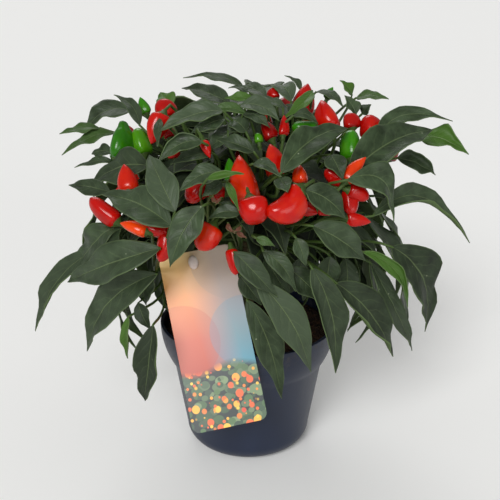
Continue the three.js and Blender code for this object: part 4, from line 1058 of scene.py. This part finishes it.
stalkSizes = {
    "petiole": (1.2075, 0.85), "petiolePoints": 9, "endTurn": 0.6, "rib": (0.42, 0.12), "ribBelow": 0.45,
    "pedicel": 1.15, "pedicelPoints": 8, "calyxLength": 3.2, "calyxTeeth": 5, "calyxSteps": 20,
    "calyxTurn": 6, "toothLength": 0.12, "branch": (2.3, 1.84), "branchOver": 0.3, "branchPast": 3,
    "seatGap": 0.32, "bend": 0.3, "flare": 0.5, "flareAt": 0.4, "teethFrom": 0.05, "teethRise": 0.4,
    # The calyx as shares of the pepper's radius and of its own length
    "calyx": [(0.34, -0.45), (0.6, 0.02), (0.7, 0.42), (0.62, 0.46), (0.4, 0.1), (0.0, 0.1)],
}
# How a stalk passes the card: over its top, down behind it and out beside it, each with its share of the way
# to the card's edge, and "past" beyond that edge
detour = {
    "past": 4, "over": (0.4, 2.5, -6), "behind": (0.8, 10, -9), "beside": (1, 12, -5), "leastDown": 8,
    "behindDown": 0.5,
}


# A smooth line through a few places
def throughKnots(knots, radii, count=5):
    ways = [(knots[min(i + 1, len(knots) - 1)] - knots[max(i - 1, 0)]) / 2 for i in range(len(knots))]
    points = [knots[0]]
    for i, (a, b) in enumerate(zip(knots, knots[1:])):
        third = (b - a).length / 3
        start, end = a + ways[i].normalized() * third, b - ways[i + 1].normalized() * third
        points += geometry.interpolate_bezier(a, start, end, b, count)[1:]
    return tapered(points, radii)


# A bent stalk. Where it would cross the card's face, it passes behind the card and comes out beside it.
def stalkPath(root, base, endWay, radii, count):
    reach = (base - root).length * stalkSizes["bend"]
    startWay = (base - root).normalized()
    points = geometry.interpolate_bezier(root, root + startWay * reach, base - endWay * reach, base, count)
    if not any(overCard(point) for point in points):
        return tapered(points, radii)
    offset = base - cardTop
    down = offset.dot(cardDown)
    edge = math.copysign(card["width"] / 2 + detour["past"], offset.dot(cardAcross))
    aside, rise, lift = detour["over"]
    knots = [root, onCard(aside * edge, rise, lift)]
    for name, share in (("behind", detour["behindDown"]), ("beside", 1)):
        aside, short, lift = detour[name]
        knots.append(onCard(aside * edge, -share * max(down - short, detour["leastDown"]), lift))
    return throughKnots([*knots, base], radii)


# A leaf's stalk, which runs on as the pale rib along the underside
def petiolePath(plan, middleLine):
    start = (plan["base"] - plan["root"]).normalized()
    end = (start + plan["along"] * stalkSizes["endTurn"]).normalized()
    path = stalkPath(plan["root"], plan["base"], end, stalkSizes["petiole"], stalkSizes["petiolePoints"])
    rib = middleLine[2:-2]
    below = plan["up"] * stalkSizes["ribBelow"]
    return path + [(Vector(p) - below, mix(*stalkSizes["rib"], i / len(rib))) for i, p in enumerate(rib)]


def pedicelPath(pepper):
    axis = (pepper["tip"] - pepper["base"]).normalized()
    seat = pepper["base"] - axis * stalkSizes["seatGap"]
    neck = seat - axis * stalkSizes["calyxLength"]
    thick = stalkSizes["pedicel"]
    path = stalkPath(pepper["root"], neck, axis, (thick, thick), stalkSizes["pedicelPoints"])
    return path + [(seat.lerp(neck, stalkSizes["flareAt"]), thick + stalkSizes["flare"])]


# The green cap that holds a pepper: a shallow cup with blunt teeth
def addCalyx(bm, pepper, n):
    r, drop = pepper["radius"], stalkSizes["calyxLength"]
    profile = [(0.0, -drop), (stalkSizes["pedicel"] + stalkSizes["flare"], -drop)]
    verts = spin(bm, profile + [(x * r, z * drop) for x, z in stalkSizes["calyx"]], stalkSizes["calyxSteps"])
    for vert in verts:
        turn = math.atan2(vert.co.y, vert.co.x)
        rim = clamp((vert.co.z / drop - stalkSizes["teethFrom"]) / stalkSizes["teethRise"], 0, 1)
        tooth = math.cos(stalkSizes["calyxTeeth"] * turn + stalkSizes["calyxTurn"] * scatter(n))
        vert.co.z += rim * stalkSizes["toothLength"] * r * tooth
    bmesh.ops.transform(bm, matrix=turnedTo(pepper["tip"] - pepper["base"], pepper["base"]), verts=verts)
    bmesh.ops.remove_doubles(bm, verts=verts, dist=welds["fruit"])


def makeLeafyStem(index):
    stem = stems[index]
    bm = bmesh.new()
    for name in leafTints:
        bm.verts.layers.float.new(name)
    paths = [petiolePath(plan, addBlade(bm, plan)) for plan in leaves + fills if plan["stem"] == index]
    bmesh.ops.remove_doubles(bm, verts=bm.verts[:], dist=welds["blade"])
    bmesh.ops.recalc_face_normals(bm, faces=bm.faces[:])
    bladeFaces = len(bm.faces)
    start = stem["root"] + stem["aim"] * (trunk["forkReach"] + stalkSizes["branchOver"])
    paths.append(straight(start, stem["hub"] + stem["aim"] * stalkSizes["branchPast"], stalkSizes["branch"]))
    held = [pepper for pepper in peppers if pepper["stem"] == index]
    paths += [pedicelPath(pepper) for pepper in held]
    bm.from_mesh(stalkMesh(paths))
    for n, pepper in enumerate(held):
        addCalyx(bm, pepper, index * 10 + n)
    bm.faces.ensure_lookup_table()
    for face in bm.faces[bladeFaces:]:
        face.material_index = 1
    bmesh.ops.recalc_face_normals(bm, faces=bm.faces[bladeFaces:])
    newPiece(f"foliage_{index + 1:02d}", bm, ["leaf", "stalk"], f"leafy_stem_{index + 1:02d}")


for index in range(len(stems)):
    makeLeafyStem(index)
print("leafy stems made")


# Outlines of the fruit, as shares of its radius and its length
fruitForms = {
    "cone": [
        (0.0, 0.035), (0.3, 0.012), (0.66, 0.015), (0.93, 0.08), (1.02, 0.2), (0.95, 0.44), (0.7, 0.7),
        (0.4, 0.86), (0.17, 0.95), (0.06, 0.99), (0.0, 1.0),
    ],
    "blunt": [
        (0.0, 0.04), (0.3, 0.012), (0.7, 0.015), (0.98, 0.09), (1.05, 0.22), (1.0, 0.52), (0.82, 0.78),
        (0.5, 0.93), (0.18, 0.985), (0.06, 1.0), (0.0, 1.005),
    ],
    "crooked": [
        (0.0, 0.04), (0.3, 0.012), (0.67, 0.02), (0.95, 0.1), (1.03, 0.26), (0.98, 0.55), (0.88, 0.8),
        (0.6, 0.95), (0.22, 1.0), (0.06, 1.01), (0.0, 1.01),
    ],
    "lobed": [
        (0.0, 0.05), (0.3, 0.02), (0.66, 0.0), (0.95, 0.08), (1.06, 0.26), (1.0, 0.5), (0.78, 0.68),
        (0.5, 0.8), (0.42, 0.9), (0.3, 0.97), (0.12, 1.0), (0.0, 1.0),
    ],
    "round": [
        (0.0, 0.04), (0.32, 0.01), (0.68, 0.015), (0.95, 0.1), (1.02, 0.26), (1.0, 0.62), (0.74, 0.89),
        (0.36, 0.975), (0.0, 0.98),
    ],
}
fruitMesh = {
    "sag": 5.5, "steps": 24, "lobes": 3, "lobeDepth": 0.09, "lobeFade": 0.6, "bend": 0.14,
    "unevenness": 0.15, "dentRate": 1.3, "dentStretch": 3,
}


# One pepper: its outline spun round, with shallow lobes near the stalk and a slight bend
def addFruit(bm, pepper, n):
    look = fruitMesh
    length = (pepper["tip"] - pepper["base"]).length
    hue = bm.verts.layers.float["hue"]
    profile = [(r * pepper["radius"], t * length) for r, t in fruitForms[pepper["form"]]]
    verts = spin(bm, profile, look["steps"])
    swing = turnWhole * scatter(n + 700)
    depth = look["lobeDepth"] * (2 if pepper["form"] == "lobed" else 1)
    axis = (pepper["tip"] - pepper["base"]).normalized()
    turned = turnedTo(axis, pepper["base"])
    sagWay = turned.to_3x3().inverted() @ (axis * axis.z - Vector((0, 0, 1))).normalized()
    for vert in verts:
        turn, t = math.atan2(vert.co.y, vert.co.x), vert.co.z / length
        lobe = 1 + depth * math.cos(look["lobes"] * turn + swing) * (1 - look["lobeFade"] * t)
        spot = Vector((math.cos(turn), math.sin(turn), look["dentStretch"] * t)) * look["dentRate"]
        dent = 1 + look["unevenness"] * noise.noise(spot + Vector((n, 0, 0)))
        sway = look["bend"] * pepper["radius"] * math.sin(math.pi * t)
        vert.co.x = vert.co.x * lobe * dent + sway * math.cos(swing)
        vert.co.y = vert.co.y * lobe * dent + sway * math.sin(swing)
        if pepper["form"] == "crooked":
            vert.co += sagWay * look["sag"] * math.sin(math.pi * t)
        vert[hue] = pepper["hue"]
    bmesh.ops.transform(bm, matrix=turned, verts=verts)
    bmesh.ops.remove_doubles(bm, verts=verts, dist=welds["fruit"])


def makeFruits(bunch, number):
    bm = bmesh.new()
    bm.verts.layers.float.new("hue")
    for n, pepper in enumerate(pepper for pepper in peppers if pepper["bunch"] == bunch):
        addFruit(bm, pepper, 3 * number + n)
    bmesh.ops.recalc_face_normals(bm, faces=bm.faces[:])
    colour = "green" if bunch.startswith("green") else "red"
    piece = newPiece(f"fruit_{bunch}", bm, [colour], bunch)
    rounding = piece.modifiers.new("rounding", "SUBSURF")
    rounding.levels = rounding.render_levels = 1


for number, bunch in enumerate(dict.fromkeys(pepper["bunch"] for pepper in peppers)):
    makeFruits(bunch, number)
print("peppers made")


def makeMainStem():
    foot, knee, top = (Vector(trunk[name]) for name in ("foot", "knee", "top"))
    handles = (end.lerp(knee, trunk["kneeBend"]) for end in (foot, top))
    paths = [tapered(geometry.interpolate_bezier(foot, *handles, top, trunk["points"]), trunk["radii"])]
    for stem in stems:
        end = stem["root"] + stem["aim"] * trunk["forkReach"]
        paths.append(straight(stem["root"], end, trunk["forkRadii"]))
    bm = bmesh.new()
    bm.from_mesh(stalkMesh(paths, trunk["roundness"]))
    for vert in bm.verts:
        place = Vector((vert.co.x, vert.co.y, trunk["lumpLength"] * vert.co.z)) * trunk["lumpRate"]
        outward = (vert.co - Vector((0, 0, vert.co.z))).normalized()
        vert.co += outward * trunk["lump"] * noise.noise(place)
    newPiece("woody_stem", bm, ["bark"], "main_stem")


makeMainStem()


pot = {
    "height": 97, "rimRadius": 65, "bendHeight": 66, "bendRadius": 55.5, "baseRadius": 46.6,
    "cornerRadius": 14, "wall": 1.8, "floor": 2.4, "drainHoles": 6, "drainRadius": 3.6, "drainCircle": 28,
    "flare": 0.8, "turns": 8, "steps": 120, "sharpFrom": math.radians(35), "floorRise": 1.6, "floorIn": 2,
    "drainSteps": 24, "drainCut": 20,
    # The rim's rounded top, from its outer edge: how far in and how far below the top
    "rimTop": [(0, 0.35), (0.25, 0.05), (2.35, 0.05), (2.6, 0.5)],
}


# The pot's outer line from its flat base to its rim, moved in by an inset
def potLine(inset):
    corner, turns = pot["cornerRadius"], pot["turns"]
    line = []
    for i in range(turns + 1):
        turn = i / turns * math.pi / 2
        line.append((pot["baseRadius"] - corner * (1 - math.sin(turn)), corner * (1 - math.cos(turn))))
    line.append((pot["bendRadius"], pot["bendHeight"]))
    collar = pot["height"] - pot["bendHeight"]
    for i in range(1, turns + 1):
        flare = (pot["rimRadius"] - pot["bendRadius"]) * math.sin(math.pi / 2 * (i / turns) ** pot["flare"])
        line.append((pot["bendRadius"] + flare, pot["bendHeight"] + collar * i / turns))
    return [(r - inset, z) for r, z in line]


def spun(profile, steps):
    bm = bmesh.new()
    spin(bm, profile, steps)
    bmesh.ops.remove_doubles(bm, verts=bm.verts[:], dist=welds["spun"])
    bmesh.ops.recalc_face_normals(bm, faces=bm.faces[:])
    return bm


def makePot():
    flatRadius = pot["baseRadius"] - pot["cornerRadius"] + pot["floorIn"]
    inner = [(r, z) for r, z in potLine(pot["wall"]) if z > pot["floor"] and r > flatRadius][::-1]
    rim = [(pot["rimRadius"] - x, pot["height"] - z) for x, z in pot["rimTop"]]
    floor = [(flatRadius, pot["floor"] + pot["floorRise"]), (0, pot["floor"])]
    profile = [(0, 0), *potLine(0)[:-1], *rim, *inner[1:], *floor]
    piece = newPiece("grower_pot", spun(profile, pot["steps"]), ["pot"], "pot")
    cutter = bmesh.new()
    for i in range(pot["drainHoles"]):
        turn = (i + 0.5) / pot["drainHoles"] * 2 * math.pi
        place = Vector((math.cos(turn), math.sin(turn), 0)) * pot["drainCircle"] * mm
        radius = pot["drainRadius"] * mm
        bmesh.ops.create_cone(
            cutter, cap_ends=True, segments=pot["drainSteps"], radius1=radius, radius2=radius,
            depth=pot["drainCut"] * mm, matrix=Matrix.Translation(place),
        )
    mesh = bpy.data.meshes.new("drain_holes")
    cutter.to_mesh(mesh)
    cutter.free()
    holes = newObject("drain_holes", mesh)
    cut = piece.modifiers.new("drain", "BOOLEAN")
    cut.object, cut.operation, cut.solver = holes, "DIFFERENCE", "EXACT"
    piece.data = finishedMesh(piece)
    piece.modifiers.clear()
    bpy.data.objects.remove(holes)
    piece.data.set_sharp_from_angle(angle=pot["sharpFrom"])


makePot()


soil = {
    "edgeHeight": 91, "domeRise": 6, "gap": 0.9, "edgeIn": 2.6, "floorGap": 2.2, "steps": 132, "rings": 46,
    "lumps": 1.3, "longWaves": (0.31, 0.27), "crossWaves": (0.11, 0.19), "crossShare": 0.6, "edgePower": 12,
    "coarse": (0.9, 0.22), "fine": (0.5, 0.7), "crumbs": 420, "crumbSizes": (0.5, 1.5), "smaller": 0.6,
    "crumb": (1.2, 0.9, 0.7), "fibre": (2.6, 0.35, 0.3), "fibreEach": 7, "seat": 0.2,
    # Where the wall starts, out of and above the foot, and the strip without crumbs along the edge
    "wallFrom": (1, 2), "bare": 2,
}


def soilHeight(x, y, edge):
    share = min(math.hypot(x, y) / edge, 1)
    (a, b), (c, d) = soil["longWaves"], soil["crossWaves"]
    lump = math.sin(x * a + 1) * math.cos(y * b) + soil["crossShare"] * math.sin(x * c - y * d)
    lump *= soil["lumps"]
    for name, layer in (("coarse", 0), ("fine", 9)):
        amount, rate = soil[name]
        lump += amount * noise.noise(Vector((x, y, layer)) * rate)
    dome = soil["domeRise"] * (1 - share * share)
    return soil["edgeHeight"] + dome + lump * (1 - share ** soil["edgePower"])


def makeSoil():
    bottom = pot["floor"] + soil["floorGap"]
    foot = pot["baseRadius"] - pot["cornerRadius"]
    top = soil["edgeHeight"]
    out, over = soil["wallFrom"]
    line = potLine(pot["wall"] + soil["gap"])
    wall = [(r, z) for r, z in line if bottom + over < z < top and r > foot + out]
    edge = pot["rimRadius"] - pot["wall"] - soil["gap"] - soil["edgeIn"]
    rings = [(edge * (1 - (i / soil["rings"])), top) for i in range(soil["rings"] + 1)]
    bm = spun([(0, bottom), (foot, bottom), *wall, *rings], soil["steps"])
    for vert in bm.verts:
        if vert.co.z > top - 0.01:
            vert.co.z = soilHeight(vert.co.x, vert.co.y, edge)
    # Loose crumbs and fibres on top
    for i in range(soil["crumbs"]):
        away = (edge - soil["bare"]) * math.sqrt(scatter(i + 1))
        turn = turnWhole * scatter(i + 900)
        x, y = away * math.cos(turn), away * math.sin(turn)
        size = spread(soil["crumbSizes"], i + 1700) * (soil["smaller"] if i % 3 else 1)
        shape = Vector(soil["crumb" if i % soil["fibreEach"] else "fibre"]) * size
        place = Matrix.Translation((x, y, soilHeight(x, y, edge) + soil["seat"] * size))
        turned = place @ Matrix.Rotation(turn * 3, 4, "Z") @ Matrix.Diagonal((*shape, 1))
        bmesh.ops.create_icosphere(bm, subdivisions=1, radius=1, matrix=turned)
    newPiece("peat", bm, ["soil"], "soil")


makeSoil()
print("pot and soil made")


# A flat outline of the card with round corners and the hole, given its thickness and placed
def makeCard():
    w, l, r = card["width"] / 2 - card["edge"], card["length"] - card["edge"], card["corner"]
    outline = []
    for x, y, first in ((w - r, -r, 0), (-w + r, -r, 1), (-w + r, -l + r, 2), (w - r, -l + r, 3)):
        for i in range(card["cornerSteps"] + 1):
            turn = (first + i / card["cornerSteps"]) * math.pi / 2
            outline.append((x + r * math.cos(turn), y + r * math.sin(turn)))
    hole = card["holeRadius"] + card["edge"]
    turns = [i * 2 * math.pi / card["holeSteps"] for i in range(card["holeSteps"])]
    ring = [(holeX + hole * math.cos(turn), holeY - hole * math.sin(turn)) for turn in turns]
    settings = {
        "dimensions": "2D", "fill_mode": "BOTH", "extrude": (card["thickness"] / 2 - card["edge"]) * mm,
        "bevel_depth": card["edge"] * mm,
    }
    lines = [[((x * mm, y * mm, 0), 1) for x, y in points] for points in (outline, ring)]
    bm = bmesh.new()
    bm.from_mesh(curveMesh(settings, lines, closed=True))
    bmesh.ops.remove_doubles(bm, verts=bm.verts[:], dist=welds["card"] * mm)
    bmesh.ops.recalc_face_normals(bm, faces=bm.faces[:])
    bmesh.ops.scale(bm, vec=(1 / mm, 1 / mm, 1 / mm), verts=bm.verts[:])
    uv = bm.loops.layers.uv.verify()
    for face in bm.faces:
        face.material_index = 1 if face.normal.z < -0.5 else 0
        for loop in face.loops:
            loop[uv].uv = (loop.vert.co.x / card["width"] + 0.5, loop.vert.co.y / card["length"] + 1)
    bmesh.ops.translate(bm, vec=(0, 0, card["thickness"] / 2), verts=bm.verts[:])
    bmesh.ops.transform(bm, matrix=cardFrame, verts=bm.verts[:])
    newPiece("care_card", bm, ["print", "board"], "label_card", smooth=False)


makeCard()


stake = {
    "width": 6, "thickness": 1.6, "bottom": 72, "behind": 4, "neckBack": 4.6, "neckFront": 2.7,
    "neckRadius": 2.2, "headRadius": 3.4, "headLength": 9.5, "headLift": 0.3, "headFlat": 0.5,
    "shoulder": 4, "edge": 0.4, "sharpFrom": math.radians(40),
    "edgeSteps": 3, "neckSteps": 28, "headSteps": (32, 16),
}


# The peg: a post behind the card, a neck through its hole and an oval head in front
def makeStake():
    behind = onCard(holeX, holeY, -stake["behind"])
    top, bottom = behind.z + stake["shoulder"], stake["bottom"]
    bm = bmesh.new()
    place = Matrix.Translation((behind.x, behind.y, (top + bottom) / 2))
    size = Matrix.Diagonal((stake["width"], stake["thickness"], top - bottom, 1))
    made = bmesh.ops.create_cube(bm, size=1, matrix=place @ size)
    edges = list({edge for vert in made["verts"] for edge in vert.link_edges})
    rounding = {"offset": stake["edge"], "segments": stake["edgeSteps"], "profile": 0.5}
    bmesh.ops.bevel(bm, geom=edges, affect="EDGES", material=-1, **rounding)
    front, back = stake["neckFront"], -stake["neckBack"]
    along = onCard(holeX, holeY, front) - onCard(holeX, holeY, back)
    bmesh.ops.create_cone(
        bm, cap_ends=True, segments=stake["neckSteps"], radius1=stake["neckRadius"],
        radius2=stake["neckRadius"], depth=along.length,
        matrix=turnedTo(along, onCard(holeX, holeY, (front + back) / 2)),
    )
    oval = Matrix.Diagonal((1, stake["headLength"] / stake["headRadius"] / 2, stake["headFlat"], 1))
    head = cardFrame.copy()
    head.translation = onCard(holeX, holeY, front + stake["headLift"])
    ball = dict(zip(("u_segments", "v_segments"), stake["headSteps"]), radius=stake["headRadius"])
    bmesh.ops.create_uvsphere(bm, matrix=head @ oval, **ball)
    piece = newPiece("card_peg", bm, ["peg"], "label_stake")
    piece.data.set_sharp_from_angle(angle=stake["sharpFrom"])


makeStake()
print("card and peg made")


studio = {
    "floor": "#f6f6f4", "marks": {}, "plain": {"Roughness": 0.9}, "floorDrop": 0.0004, "reach": 40,
    "worldLight": 0.33,
    # Each lamp: the way it shines, its strength and its spread in degrees
    "lamps": {
        "key": ((0.32, 1.0, -0.68), 2.35, 24), "fill": ((-0.4, 0.9, -0.14), 0.7, 30),
        "rear": ((0.2, -1, -0.9), 0.6, 30),
    },
}


# Painted board under the pot, pale and matt
def paintedBoard(add, look, place):
    return linear(look["floor"]), None


def makeStudio():
    bm = bmesh.new()
    bmesh.ops.create_grid(bm, x_segments=1, y_segments=1, size=studio["reach"])
    mesh = bpy.data.meshes.new("floor")
    bm.to_mesh(mesh)
    bm.free()
    mesh.materials.append(newMaterial("paintedBoard", paintedBoard, studio))
    floor = newObject("floor", mesh)
    floor.location.z = -studio["floorDrop"]
    world = bpy.data.worlds.new("studio")
    bpy.context.scene.world = world
    world.use_nodes = True
    sky = world.node_tree.nodes["Background"]
    setInputs(world.node_tree, sky, {"Color": (1, 1, 1, 1), "Strength": studio["worldLight"]})
    for name, (way, strength, breadth) in studio["lamps"].items():
        data = bpy.data.lights.new(name, "SUN")
        data.energy, data.angle = strength, math.radians(breadth)
        newObject(name, data).rotation_euler = Vector(way).to_track_quat("-Z", "Y").to_euler()
    bpy.context.scene.view_settings.view_transform = "Standard"


makeStudio()
print("studio made")
